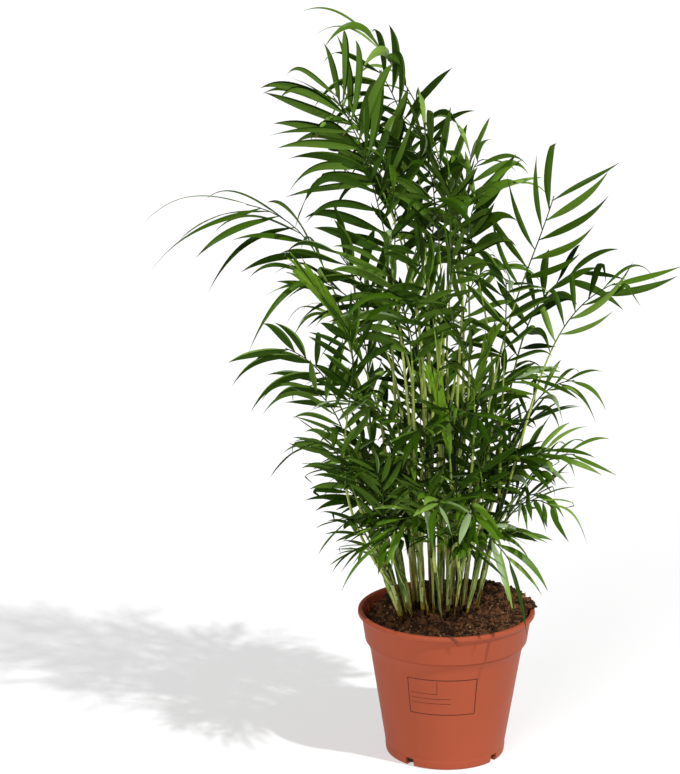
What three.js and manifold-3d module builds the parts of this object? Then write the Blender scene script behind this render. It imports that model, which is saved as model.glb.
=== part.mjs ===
// A parlour palm in its nursery pot: a clump of sheathed canes in peat, and the feathered fronds
// that arch out of them.  Millimetres, +Z up, origin at the middle of the pot's flat underside;
// the front of the plant looks towards -Y.
import * as THREE from 'three';
import { mergeVertices, toCreasedNormals } from 'three/addons/utils/BufferGeometryUtils.js';
import Module from 'manifold-3d';

// ---- Driving dimensions ---------------------------------------------------------------------
const POT_HEIGHT = 144;
const RIM_RADIUS = 85;
const BASE_RADIUS = 57;
const WALL = 1.6;
const LIP_HEIGHT = 5;
const COLLAR_HEIGHT = 30; // the straight band under the lip, down to its ledge
const COLLAR_RADIUS = 80.6;
const LEDGE = 4.6; // how far the wall steps in under the collar
const POT_SIDES = 48;
const NOTCH = { wide: 9, tall: 8, count: 4, first: -38 }; // drain notches in the foot, degrees

const SOIL_LEVEL = 137; // the level bed that the canes stand in
const SOIL_BED = 54; // radius of that bed
const SOIL_HEAP = 9; // the peat is heaped this much above the bed at one side, below it opposite
const SOIL_HEAP_SIDE = 30; // degrees
const SOIL_SIDES = 24;

const CLEARANCE = 0.3; // between pieces that touch
const STALK_GAP = 0.6; // least gap between two stalks
const LEAFLET_GUARD = 0.45; // least gap round a leaflet

const CANE_FOOT = 3.6; // radii
const CANE_TOP = 2.5;
const STALK_FOOT = 1.7;
const STALK_TIP = 0.7;
const KEEL = 1.6; // depth of a rib below its flat top, next to its radius
const LEAVING_ANGLE = 14; // degrees between a cane and a frond stalk that leaves its side
const LEAFLET_WIDTH = 0.125; // of its length
const LEAFLET_THICKNESS = 0.014; // of its length

// ---- Finishes -------------------------------------------------------------------------------
const finish = (colour, roughness) => () =>
  new THREE.MeshStandardMaterial({ color: colour, roughness, metalness: 0 });
const terracottaPlastic = finish(0xb85d42, 0.55);
const peat = finish(0x3c2a1e, 0.95);
const caneGreen = finish(0x8aa04a, 0.6);
const leafGreen = finish(0x3c6e1e, 0.5);
const freshGreen = finish(0x6f9a2c, 0.5);

// ---- Small tools ----------------------------------------------------------------------------
const UP = new THREE.Vector3(0, 0, 1);
const radians = THREE.MathUtils.degToRad;
const mix = THREE.MathUtils.lerp;
const vector = (x, y, z) => new THREE.Vector3(x, y, z);

// A repeatable number from 0 to 1 for each pair of whole numbers.
function chance(a, b) {
  const wave = Math.sin(a * 12.9898 + b * 78.233) * 43758.5453;
  return wave - Math.floor(wave);
}

// A heading in the ground plane, from an angle in degrees.
function heading(degrees) {
  return vector(Math.cos(radians(degrees)), Math.sin(radians(degrees)), 0);
}

function meshOf(name, points, faces, material) {
  const geometry = new THREE.BufferGeometry();
  const flat = points.flatMap((point) => [point.x, point.y, point.z]);
  geometry.setAttribute('position', new THREE.Float32BufferAttribute(flat, 3));
  geometry.setIndex(faces.flat());
  geometry.computeVertexNormals();
  const mesh = new THREE.Mesh(geometry, material);
  mesh.name = name;
  return mesh;
}

// ---- Solids for cutting ---------------------------------------------------------------------
const wasm = await Module();
wasm.setup();

function solidOf(geometry) {
  geometry.deleteAttribute('normal');
  geometry.deleteAttribute('uv');
  const merged = mergeVertices(geometry, 1e-3);
  return new wasm.Manifold(
    new wasm.Mesh({
      numProp: 3,
      vertProperties: new Float32Array(merged.attributes.position.array),
      triVerts: new Uint32Array(merged.index.array),
    }),
  );
}

const SMOOTH_BELOW = 0.5; // radians between two faces that are shaded as one surface
function geometryOf(solid) {
  const cut = solid.getMesh();
  const geometry = new THREE.BufferGeometry();
  geometry.setAttribute('position', new THREE.BufferAttribute(cut.vertProperties, 3));
  geometry.setIndex(new THREE.BufferAttribute(cut.triVerts, 1));
  return toCreasedNormals(geometry, SMOOTH_BELOW);
}

// ---- The pot --------------------------------------------------------------------------------
const collarFoot = POT_HEIGHT - COLLAR_HEIGHT;
const collarFootRadius = COLLAR_RADIUS - 3;
const wallTopRadius = collarFootRadius - LEDGE;
const lipFoot = POT_HEIGHT - LIP_HEIGHT;

// Inside of the pot from its floor up to the lip, as [radius, height].
const potInside = [
  [BASE_RADIUS - WALL - 1, WALL], // the corner is a little thicker
  [wallTopRadius - WALL, collarFoot - WALL],
  [collarFootRadius - WALL, collarFoot + 1],
  [COLLAR_RADIUS - WALL, lipFoot],
  [COLLAR_RADIUS - 0.4, POT_HEIGHT - 1],
];

function pot() {
  const outside = [
    [0, 0],
    [BASE_RADIUS - 3, 0],
    [BASE_RADIUS - 0.8, 1],
    [BASE_RADIUS, 3.4],
    [wallTopRadius, collarFoot - 2.6],
    [collarFootRadius, collarFoot],
    [COLLAR_RADIUS, lipFoot - 0.4],
    [RIM_RADIUS - 0.8, lipFoot],
    [RIM_RADIUS, lipFoot + 1.2],
    [RIM_RADIUS, POT_HEIGHT - 1.4],
    [RIM_RADIUS - 1.2, POT_HEIGHT],
    [RIM_RADIUS - 3, POT_HEIGHT],
  ];
  const inside = [...potInside].reverse();
  const profile = [...outside, ...inside, [0, WALL]];
  const turned = new THREE.LatheGeometry(
    profile.map(([radius, height]) => new THREE.Vector2(radius, height)),
    POT_SIDES,
  );
  turned.rotateX(Math.PI / 2);
  let body = solidOf(turned);
  for (let i = 0; i < NOTCH.count; i += 1) {
    const box = new THREE.BoxGeometry(14, NOTCH.wide, 2 * NOTCH.tall);
    box.translate(BASE_RADIUS, 0, 0);
    box.rotateZ(radians(NOTCH.first + (360 / NOTCH.count) * i));
    body = body.subtract(solidOf(box));
  }
  const mesh = new THREE.Mesh(geometryOf(body), terracottaPlastic());
  mesh.name = 'pot';
  return mesh;
}

// ---- The peat -------------------------------------------------------------------------------
function insideRadius(height) {
  for (let i = 1; i < potInside.length; i += 1) {
    const [r0, z0] = potInside[i - 1];
    const [r1, z1] = potInside[i];
    if (height <= z1) {
      return mix(r0, r1, THREE.MathUtils.clamp((height - z0) / (z1 - z0), 0, 1));
    }
  }
  return COLLAR_RADIUS - 0.4;
}

// Height of the peat: level in the bed, heaped towards one side and crumbly outside it.
function soilHeight(radius, degrees, ring, spoke) {
  const out = THREE.MathUtils.smoothstep(radius, SOIL_BED, SOIL_BED + 24);
  const heap = SOIL_HEAP * Math.cos(radians(degrees - SOIL_HEAP_SIDE));
  const crumb = 2.4 * (chance(ring, spoke) - 0.5);
  return SOIL_LEVEL + out * (heap + crumb);
}

function soil() {
  const rings = [18, 36, SOIL_BED, 62, 69, 75];
  const spokes = [...Array(SOIL_SIDES).keys()];
  const points = [vector(0, 0, SOIL_LEVEL)];
  const faces = [];
  const place = (radius, degrees, height) => {
    points.push(heading(degrees).multiplyScalar(radius).setZ(height));
  };
  const turn = 360 / SOIL_SIDES;
  rings.forEach((radius, ring) => {
    spokes.forEach((k) => place(radius, k * turn, soilHeight(radius, k * turn, ring, k)));
  });
  // The edge meets the inside of the pot, and the body follows the wall down to the floor.
  const edge = spokes.map((k) => Math.min(soilHeight(80, k * turn, 9, k), POT_HEIGHT - 1.5));
  spokes.forEach((k) => place(insideRadius(edge[k]) - 0.6, k * turn, edge[k]));
  const below = [potInside[2], potInside[1], potInside[0]];
  below.forEach(([radius, height]) => {
    spokes.forEach((k) => place(radius - 0.6, k * turn, height + 0.5));
  });
  const bands = rings.length + 1 + below.length;
  const at = (band, k) => 1 + band * SOIL_SIDES + (k % SOIL_SIDES);
  const foot = points.push(vector(0, 0, WALL + 0.5)) - 1;
  spokes.forEach((k) => {
    faces.push([0, at(0, k), at(0, k + 1)]);
    for (let band = 1; band < bands; band += 1) {
      faces.push([at(band - 1, k), at(band, k), at(band, k + 1)]);
      faces.push([at(band - 1, k), at(band, k + 1), at(band - 1, k + 1)]);
    }
    faces.push([at(bands - 1, k), foot, at(bands - 1, k + 1)]);
  });
  return meshOf('soil', points, faces, peat());
}

// ---- The canes ------------------------------------------------------------------------------
// [foot x, foot y, top x, top y, top z, how thick next to the others]
const CANES = [
  [-43, -16, -76, -26, 236, 1.35],
  [-36, 6, -62, 4, 268, 0.9],
  [-30, 20, -40, 38, 300, 1.0],
  [-22, -4, -34, -16, 306, 1.1],
  [-14, 10, -20, 12, 330, 0.95],
  [-11, 32, -14, 58, 292, 0.9],
  [-3, 20, -4, 26, 352, 1.0],
  [1, -10, 2, -34, 262, 0.9],
  [5, 6, 8, 0, 330, 1.25],
  [12, 27, 16, 42, 322, 1.0],
  [17, 10, 32, 8, 300, 1.05],
  [25, 34, 48, 54, 274, 0.95],
  [28, 0, 54, -10, 262, 1.0],
];
const CANE_SIDES = 6;
const CANE_RINGS = 5;

function caneAt(cane, t) {
  const [footX, footY, topX, topY, topZ] = cane;
  const foot = SOIL_LEVEL + CLEARANCE;
  const spread = 0.75 * t + 0.25 * t * t; // canes lean out a little faster as they rise
  return vector(mix(footX, topX, spread), mix(footY, topY, spread), mix(foot, topZ, t));
}

function caneRadius(cane, t) {
  return cane[5] * mix(CANE_FOOT, CANE_TOP, t);
}

function caneDirection(cane, t) {
  return caneAt(cane, t + 0.02).sub(caneAt(cane, t - 0.02)).normalize();
}

function caneMesh(cane, index) {
  const points = [];
  const faces = [];
  for (let ring = 0; ring <= CANE_RINGS; ring += 1) {
    const t = ring / CANE_RINGS;
    const centre = caneAt(cane, t);
    for (let side = 0; side < CANE_SIDES; side += 1) {
      const arm = heading((360 / CANE_SIDES) * side).multiplyScalar(caneRadius(cane, t));
      points.push(centre.clone().add(arm));
    }
  }
  const at = (ring, side) => ring * CANE_SIDES + (side % CANE_SIDES);
  for (let side = 0; side < CANE_SIDES; side += 1) {
    for (let ring = 0; ring < CANE_RINGS; ring += 1) {
      faces.push([at(ring, side), at(ring, side + 1), at(ring + 1, side + 1)]);
      faces.push([at(ring, side), at(ring + 1, side + 1), at(ring + 1, side)]);
    }
  }
  for (let side = 1; side < CANE_SIDES - 1; side += 1) {
    faces.push([at(0, 0), at(0, side + 1), at(0, side)]);
    faces.push([at(CANE_RINGS, 0), at(CANE_RINGS, side), at(CANE_RINGS, side + 1)]);
  }
  return meshOf(`cane-${String(index + 1).padStart(2, '0')}`, points, faces, caneGreen());
}

// ---- The fronds -----------------------------------------------------------------------------
// The fronds that give the crown its outline.  cane and at say where the stalk leaves; tip is the
// end of the rib; pitch is the rib's slope there in degrees; blade is the length of rib that
// carries leaflets; leaf is the longest leaflet; roll turns the blade about its rib; sag makes the
// leaflets hang more, and lift is their angle above the blade where it isn't the usual one.
const LEADING_FRONDS = [
  { cane: 9, at: 1, tip: [-74, 30, 688], pitch: 50, blade: 124, leaf: 98, pairs: 6, roll: -14, sag: 0.245 },
  { cane: 4, at: 1, tip: [-106, -62, 650], pitch: 60, blade: 118, leaf: 94, pairs: 6, roll: 74 },
  { cane: 3, at: 1, tip: [-86, -40, 600], pitch: 70, blade: 122, leaf: 94, pairs: 6, roll: 82 },
  { cane: 1, at: 1, tip: [-188, -14, 540], pitch: 12, blade: 112, leaf: 104, pairs: 6, roll: 0, lift: -30 },
  { cane: 1, at: 0.8, tip: [-152, -46, 412], pitch: 24, blade: 100, leaf: 64, pairs: 7, roll: 60 },
  { cane: 0, at: 1, tip: [-126, -62, 326], pitch: 4, blade: 90, leaf: 56, pairs: 6, roll: 45 },
  { cane: 0, at: 0.7, tip: [-98, -74, 252], pitch: -20, blade: 78, leaf: 50, pairs: 6, roll: 15 },
  { cane: 10, at: 1, tip: [95, -4, 546], pitch: 74, blade: 98, leaf: 80, pairs: 5, roll: 84, sag: -0.3 },
  { cane: 12, at: 1, tip: [154, 4, 462], pitch: 22, blade: 84, leaf: 76, pairs: 5, roll: 34, sag: -0.3 },
  { cane: 11, at: 1, tip: [128, 66, 460], pitch: 16, blade: 112, leaf: 66, pairs: 7, roll: 30 },
  { cane: 11, at: 0.8, tip: [122, 44, 358], pitch: 4, blade: 76, leaf: 46, pairs: 6, roll: 25 },
  { cane: 12, at: 0.8, tip: [118, -24, 304], pitch: -4, blade: 84, leaf: 50, pairs: 6, roll: 20 },
  { cane: 12, at: 0.6, tip: [94, -82, 270], pitch: -14, blade: 78, leaf: 46, pairs: 6, roll: 10 },
  { cane: 7, at: 0.7, tip: [56, -76, 214], pitch: -58, blade: 66, leaf: 46, pairs: 5, roll: 0 },
  { cane: 7, at: 0.85, tip: [-66, -92, 236], pitch: -34, blade: 76, leaf: 48, pairs: 6, roll: 0 },
  { cane: 10, at: 0.85, tip: [44, 18, 552], pitch: 6, blade: 104, leaf: 70, pairs: 6, roll: 20 },
  { cane: 9, at: 0.85, tip: [34, 78, 566], pitch: -4, blade: 110, leaf: 72, pairs: 6, roll: 10 },
  { cane: 2, at: 1, tip: [-132, 8, 468], pitch: 20, blade: 108, leaf: 70, pairs: 6, roll: -30 },
];

// Young fronds that are still folded: a narrow strip, fold is its half width.
const FOLDED_FRONDS = [
  { cane: 1, at: 0.9, tip: [-146, -52, 500], pitch: 52, blade: 138, fold: 6.5, roll: 60 },
  { cane: 7, at: 1, tip: [-18, -44, 400], pitch: 84, blade: 100, fold: 5, roll: 80 },
  { cane: 8, at: 0.9, tip: [42, -14, 430], pitch: 74, blade: 96, fold: 4.5, roll: 70 },
];

// The rest of the crown: tiers of fronds, each tier's fronds dealt round the clump.  reach is the
// distance of a tip from the middle of the clump, and lean moves the whole tier over to one side.
const CLUMP = vector(-4, 14, 0);
const CLUMP_DEPTH = 1.4; // the tiers reach further to the front and back than to the sides
const TIERS = [
  { count: 9, first: 20, reach: 84, height: 272, pitch: -20, at: 0.62, blade: 84, leaf: 54, lean: -4 },
  { count: 8, first: 75, reach: 84, height: 352, pitch: -2, at: 0.8, blade: 98, leaf: 58, lean: -8 },
  { count: 5, first: 40, reach: 78, height: 452, pitch: 8, at: 0.92, blade: 112, leaf: 70, lean: -20 },
  { count: 2, first: -64, reach: 60, height: 560, pitch: 0, at: 0.97, blade: 118, leaf: 82, lean: -44 },
];
const TIER_PAIRS = 6;

function tierFronds(tier, row) {
  const fronds = [];
  for (let i = 0; i < tier.count; i += 1) {
    const turn = tier.first + (360 / tier.count) * i + 14 * (chance(row, i) - 0.5);
    const reach = tier.reach * mix(0.85, 1.15, chance(row + 10, i));
    const tip = heading(turn).multiplyScalar(reach);
    tip.y *= CLUMP_DEPTH;
    tip.add(CLUMP);
    tip.x += tier.lean;
    tip.z = tier.height + 56 * (chance(row + 20, i) - 0.5);
    fronds.push({
      cane: nearestCane(tip),
      at: tier.at + 0.1 * (chance(row + 30, i) - 0.5),
      tip: tip.toArray(),
      pitch: tier.pitch + 16 * (chance(row + 40, i) - 0.5),
      blade: tier.blade,
      leaf: tier.leaf,
      pairs: TIER_PAIRS,
      roll: 50 * (chance(row + 50, i) - 0.5),
    });
  }
  return fronds;
}

// The cane whose top lies most nearly under a tip carries the frond, unless it has its share.
const FRONDS_A_CANE = 4;
const load = CANES.map(() => 0);
function nearestCane(tip) {
  let best = 0;
  let least = Infinity;
  CANES.forEach((cane, index) => {
    const [, , topX, topY] = cane;
    const away = Math.hypot(tip.x * 0.4 - topX, (tip.y - 14) * 0.4 + 14 - topY);
    if (load[index] < FRONDS_A_CANE && away < least) {
      least = away;
      best = index;
    }
  });
  load[best] += 1;
  return best;
}

// The rib of a frond, stalk and all, as points along a curve that leaves the cane and arrives at
// the tip with its own slope.
function ribCurve(frond, turn, side) {
  const cane = CANES[frond.cane];
  const axis = caneDirection(cane, frond.at);
  const tip = vector(...frond.tip);
  const middle = caneAt(cane, frond.at);
  tip.sub(middle).applyAxisAngle(UP, radians(turn)).add(middle);
  const outward = tip.clone().sub(middle).setZ(0).normalize();
  const tilt = Math.hypot(axis.x, axis.y);
  let start = middle.clone().addScaledVector(axis, CLEARANCE + KEEL * STALK_FOOT * tilt);
  let leaving = axis.clone();
  if (frond.at < 1) {
    // A stalk that leaves straight outward has its flat against the cane, any other a corner.
    const aside = radians(side);
    const corner = STALK_FOOT * Math.max(Math.abs(Math.sin(aside)), -KEEL * Math.cos(aside));
    const arm = outward.clone().applyAxisAngle(UP, aside);
    start = middle.clone().addScaledVector(arm, caneRadius(cane, frond.at) + CLEARANCE + corner);
    const hinge = axis.clone().cross(arm).normalize();
    leaving = axis.clone().applyAxisAngle(hinge, radians(LEAVING_ANGLE));
  }
  const length = tip.distanceTo(start);
  const pitch = radians(frond.pitch);
  const arriving = outward.clone().multiplyScalar(Math.cos(pitch)).setZ(Math.sin(pitch));
  return new THREE.CubicBezierCurve3(
    start,
    start.clone().addScaledVector(leaving, 0.5 * length),
    tip.clone().addScaledVector(arriving, -0.3 * length),
    tip,
  );
}

// The rib cut into the steps that its mesh needs: long ones on the stalk, and on the blade one
// for each leaflet, left and right in turn.  Each station has its place and its frame.
const STALK_STEPS = 7;
const FOLDED_STEPS = 8;
const BLADE_SHARE = 0.75; // the most of a rib that carries leaflets
function stationsOf(frond, curve) {
  const total = curve.getLength();
  const blade = Math.min(frond.blade, BLADE_SHARE * total);
  const bare = total - blade;
  const lengths = [];
  for (let i = 0; i < STALK_STEPS; i += 1) {
    lengths.push((bare * i) / STALK_STEPS);
  }
  const leaflets = frond.fold ? FOLDED_STEPS : 2 * frond.pairs;
  for (let i = 0; i <= leaflets; i += 1) {
    lengths.push(bare + (blade * i) / leaflets);
  }
  const ends = curve.getPoint(1).sub(curve.getPoint(0)).setZ(0).normalize();
  const acrossAll = UP.clone().cross(ends);
  return lengths.map((length) => {
    const u = Math.min(length / total, 1);
    const point = curve.getPointAt(u);
    const along = curve.getTangentAt(u);
    const roll = radians(frond.roll) * THREE.MathUtils.smoothstep(length, 0.4 * bare, bare);
    const left = acrossAll.clone().addScaledVector(along, -acrossAll.dot(along)).normalize();
    left.applyAxisAngle(along, roll);
    const upper = along.clone().cross(left);
    const radius = mix(STALK_FOOT, STALK_TIP, u);
    const share = Math.max(0, (length - bare) / blade);
    const half = frond.fold ? radius + frond.fold * Math.sin(Math.PI * share ** 0.8) : radius;
    return { point, along, left, upper, radius, half };
  });
}

// A frond is turned a few degrees about its cane, or leaves the cane on another side, until its
// rib passes the others and the canes clear.
const TURNS = [0, 5, -5, 10, -10, 15, -15, 20, -20, 26, -26];
const SIDES = [0, 60, -60, 115, -115, 30, -30, 90, -90];
const OWN_REACH = 30; // from its start, where a rib may lie close to its own cane
const SAMPLE = 4; // spacing of the places along a rib that are measured

// How far a rib, or the folded strip along it, reaches from its line.
function reachOf(station) {
  return Math.max(KEEL * station.radius, station.half);
}

function samplesOf(stations) {
  const samples = [];
  for (let i = 1; i < stations.length; i += 1) {
    const [from, to] = [stations[i - 1], stations[i]];
    const count = Math.ceil(to.point.distanceTo(from.point) / SAMPLE);
    for (let k = 0; k < count; k += 1) {
      const point = from.point.clone().lerp(to.point, k / count);
      samples.push({ point, reach: mix(reachOf(from), reachOf(to), k / count) });
    }
  }
  return samples;
}

const nearest = vector(0, 0, 0);
function isNear(sample, from, to, reach) {
  new THREE.Line3(from, to).closestPointToPoint(sample.point, true, nearest);
  return nearest.distanceTo(sample.point) < sample.reach + reach + STALK_GAP;
}

const ribs = []; // the stations of each rib that is placed
function meetsRib(sample, rib) {
  return rib.some((to, i) => {
    return i > 0 && isNear(sample, rib[i - 1].point, to.point, reachOf(to));
  });
}

const CANE_PLACES = [0, 0.25, 0.5, 0.75, 1];
function meetsCane(sample, cane) {
  return CANE_PLACES.some((t, i) => {
    const before = CANE_PLACES[i - 1];
    return i > 0 && isNear(sample, caneAt(cane, before), caneAt(cane, t), caneRadius(cane, before));
  });
}

function ribIsClear(stations, frond) {
  const start = stations[0].point;
  return samplesOf(stations).every((sample) => {
    const leaving = sample.point.distanceTo(start) < OWN_REACH;
    return !ribs.some((rib) => meetsRib(sample, rib))
      && !CANES.some((cane, i) => !(leaving && i === frond.cane) && meetsCane(sample, cane));
  });
}

function clearStations(frond, name) {
  for (const turn of TURNS) {
    for (const side of SIDES) {
      const stations = stationsOf(frond, ribCurve(frond, turn, side));
      if (ribIsClear(stations, frond)) {
        ribs.push(stations);
        return stations;
      }
    }
  }
  throw new Error(`${name} finds no clear way out of the clump`);
}

// ---- Leaflets -------------------------------------------------------------------------------
const pieces = []; // what is placed so far

function remember(triangles, owner) {
  const box = new THREE.Box3().setFromPoints(triangles.flat());
  pieces.push({ box, triangles, owner });
}

const ray = new THREE.Ray();
const hit = vector(0, 0, 0);
function edgeMeets(from, to, triangle) {
  ray.origin.copy(from);
  ray.direction.copy(to).sub(from);
  const length = ray.direction.length();
  ray.direction.divideScalar(length);
  const found = ray.intersectTriangle(...triangle, false, hit);
  return found !== null && hit.distanceTo(from) <= length;
}

function trianglesMeet(first, second) {
  return [0, 1, 2].some((corner) => {
    const next = (corner + 1) % 3;
    return edgeMeets(first[corner], first[next], second)
      || edgeMeets(second[corner], second[next], first);
  });
}

function isClear(triangles, concerns) {
  const box = new THREE.Box3().setFromPoints(triangles.flat());
  return !pieces.some((piece) => {
    return concerns(piece)
      && piece.box.intersectsBox(box)
      && piece.triangles.some((other) => triangles.some((own) => trianglesMeet(own, other)));
  });
}

// How a leaflet lies: its length, its angle to the rib, and how far its tip hangs down.
const LEAFLET_TRIES = [
  { size: 1, swing: 0, sag: 0 },
  { size: 0.92, swing: -7, sag: 0.08 },
  { size: 0.84, swing: 7, sag: -0.1 },
  { size: 0.72, swing: 0, sag: 0.16 },
  { size: 0.6, swing: -10, sag: -0.05 },
];

function leafletShape(frond, number, index, station, next, attempt) {
  const share = (index + 0.5) / (2 * frond.pairs);
  const side = index % 2 === 0 ? 1 : -1;
  const size = (0.7 + 0.3 * Math.sin(Math.PI * mix(0.15, 0.8, share))) * attempt.size;
  const length = frond.leaf * size * mix(0.93, 1.07, chance(number, index));
  const swing = mix(66, 26, share) + 8 * (chance(number + 50, index) - 0.5) + attempt.swing;
  const lift = radians(frond.lift ?? mix(16, 4, share));
  const droop = mix(0.16, 0.3, chance(number + 90, index)) + (frond.sag ?? 0);
  const sag = length * (droop + attempt.sag);
  const spacing = frond.blade / frond.pairs;
  const angle = radians(swing);
  const width = Math.min(LEAFLET_WIDTH * length, 0.8 * spacing * Math.sin(angle) + 2);
  const out = station.left.clone().multiplyScalar(side);
  const way = station.along.clone().multiplyScalar(Math.cos(angle));
  way.addScaledVector(out, Math.sin(angle) * Math.cos(lift));
  way.addScaledVector(station.upper, Math.sin(angle) * Math.sin(lift));
  way.normalize();
  const face = station.upper.clone().addScaledVector(way, -station.upper.dot(way)).normalize();
  const forward = way.clone().cross(face).multiplyScalar(side);
  const middle = station.point.clone().lerp(next.point, 0.5);
  const centre = (q) => {
    return middle.clone().addScaledVector(way, length * q).addScaledVector(UP, -sag * q * q);
  };
  const thickness = LEAFLET_THICKNESS * length;
  return { side, width, face, forward, centre, thickness };
}

// Cross-sections of a leaflet: front edge, keel and back edge, or the other way about on the
// right of the rib.  The long leaflets bend at two.
function leafletSections(frond, shape, spare) {
  const places = frond.leaf > 60 ? [[0.34, 1], [0.72, 0.74]] : [[0.45, 1]];
  return places.map(([q, share]) => sectionAt(shape, q, 0.5 * shape.width * share, share, spare));
}

function sectionAt(shape, q, half, share, spare) {
  const centre = shape.centre(q);
  const raised = centre.clone().addScaledVector(shape.face, spare);
  const front = shape.side * (half + spare);
  return [
    raised.clone().addScaledVector(shape.forward, front),
    centre.clone().addScaledVector(shape.face, -shape.thickness * share - spare),
    raised.clone().addScaledVector(shape.forward, -front),
  ];
}

// The faces of a leaflet, from the four corners of its root in turn, out to its tip.
function leafletFaces(root, sections, tip) {
  const [first] = sections;
  const faces = [
    ...quad(root[0], root[1], first[1], first[0]),
    [root[1], root[2], first[1]],
    ...quad(root[2], root[3], first[2], first[1]),
    ...quad(root[3], root[0], first[0], first[2]),
  ];
  sections.forEach((section, i) => {
    const beyond = sections[i + 1];
    [[0, 1], [1, 2], [2, 0]].forEach(([a, b]) => {
      if (beyond) {
        faces.push(...quad(section[a], section[b], beyond[b], beyond[a]));
      } else {
        faces.push([section[a], section[b], tip]);
      }
    });
  });
  return faces;
}

// The same leaflet a little fatter, to be tried against what is placed: the whole of it against
// the other fronds, and against its own frond the part beyond its narrow root.
const ROOT_SHARE = 0.12; // of a leaflet's length
const ROOT_HALF = 0.25; // half width where the root ends, of a leaflet's width
function isClearLeaflet(frond, number, shape, root) {
  const sections = leafletSections(frond, shape, LEAFLET_GUARD);
  const tip = shape.centre(1.01);
  const middle = shape.centre(0);
  const corners = root.map((corner) => {
    return corner.clone().add(corner.clone().sub(middle).setLength(LEAFLET_GUARD));
  });
  const [front, keel, back] = sectionAt(shape, ROOT_SHARE, ROOT_HALF * shape.width, 1, LEAFLET_GUARD);
  return isClear(leafletFaces(corners, sections, tip), (piece) => piece.owner !== number)
    && isClear(leafletFaces([front, keel, keel, back], sections, tip), (piece) => piece.owner === number);
}

// The faces of the first try that is clear, or none.
function clearLeaflet(frond, number, index, station, next, root) {
  for (const attempt of LEAFLET_TRIES) {
    const shape = leafletShape(frond, number, index, station, next, attempt);
    if (isClearLeaflet(frond, number, shape, root)) {
      return leafletFaces(root, leafletSections(frond, shape, 0), shape.centre(1));
    }
  }
  return null;
}

// ---- A frond as one closed body -------------------------------------------------------------
// The rib is a three-sided bar, flat on top.  A leaflet grows out of the bar's side face between
// two stations, so nothing has to be fused.
function ribCorners(station) {
  const { point, left, upper, radius, half } = station;
  return [
    point.clone().addScaledVector(left, half),
    point.clone().addScaledVector(upper, -KEEL * radius),
    point.clone().addScaledVector(left, -half),
  ];
}

function quad(a, b, c, d) {
  return [[a, b, c], [a, c, d]];
}

// Left side, right side and top of one step of the rib, each as four corners in turn.
function ribSides(from, to) {
  const [l0, k0, r0] = ribCorners(from);
  const [l1, k1, r1] = ribCorners(to);
  return { left: [l1, k1, k0, l0], right: [r0, k0, k1, r1], top: [l0, r0, r1, l1] };
}

function frondMesh(frond, number, name, stations) {
  const end = ribCorners(stations[stations.length - 1]).reverse();
  const faces = [ribCorners(stations[0]), end];
  for (let i = 1; i < stations.length; i += 1) {
    const { left, right, top } = ribSides(stations[i - 1], stations[i]);
    const index = i - 1 - STALK_STEPS;
    const [side, other] = index % 2 === 0 ? [left, right] : [right, left];
    const bare = index < 0 || frond.fold;
    const leaflet = bare ? null : clearLeaflet(frond, number, index, stations[i - 1], stations[i], side);
    faces.push(...quad(...top), ...quad(...other), ...(leaflet ?? quad(...side)));
    if (leaflet) {
      remember(leaflet, number);
    }
  }
  const geometry = new THREE.BufferGeometry().setFromPoints(faces.flat());
  const mesh = new THREE.Mesh(mergeVertices(geometry, 1e-3), frond.fold ? freshGreen() : leafGreen());
  mesh.geometry.computeVertexNormals();
  mesh.name = name;
  return mesh;
}

// ---- Assembly -------------------------------------------------------------------------------
const plant = new THREE.Group();
plant.add(pot(), soil());

function rememberMesh(mesh) {
  const place = mesh.geometry.attributes.position;
  const index = mesh.geometry.index.array;
  for (let i = 0; i < index.length; i += 3) {
    const corners = [0, 1, 2].map((k) => vector(0, 0, 0).fromBufferAttribute(place, index[i + k]));
    remember([corners], mesh.name);
  }
}

CANES.forEach((cane, index) => {
  const mesh = caneMesh(cane, index);
  rememberMesh(mesh);
  plant.add(mesh);
});

const fronds = [...LEADING_FRONDS, ...FOLDED_FRONDS];
fronds.forEach((frond) => {
  load[frond.cane] += 1;
});
TIERS.forEach((tier, row) => fronds.push(...tierFronds(tier, row)));

const nameOf = (number) => `frond-${String(number + 1).padStart(2, '0')}`;
const skeleton = fronds.map((frond, number) => clearStations(frond, nameOf(number)));

// Every rib is in place before the first leaflet, so that no leaflet crosses a stalk.
skeleton.forEach((stations, number) => {
  for (let i = 1; i < stations.length; i += 1) {
    const { left, right, top } = ribSides(stations[i - 1], stations[i]);
    remember([...quad(...left), ...quad(...right), ...quad(...top)], number);
  }
});

fronds.forEach((frond, number) => {
  plant.add(frondMesh(frond, number, nameOf(number), skeleton[number]));
});

export default plant;
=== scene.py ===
# %% [markdown]
# # A parlour palm in its nursery pot
#
# A parlour palm is sold as a clump: a dozen or so seedlings grow in one pot, each a slim cane
# wrapped in pale green leaf sheaths, and each cane sends up three or four feathered fronds.
# This lesson dresses a plain solid model of such a plant.  The solids give the places and the
# sizes; what is made here is everything the eye looks for, such as curved leaflets, sheaths,
# crumbly peat and moulded plastic.

# %% Load the solid model
import math

import bmesh
import bpy
import numpy as np
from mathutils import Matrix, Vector, noise


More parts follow.
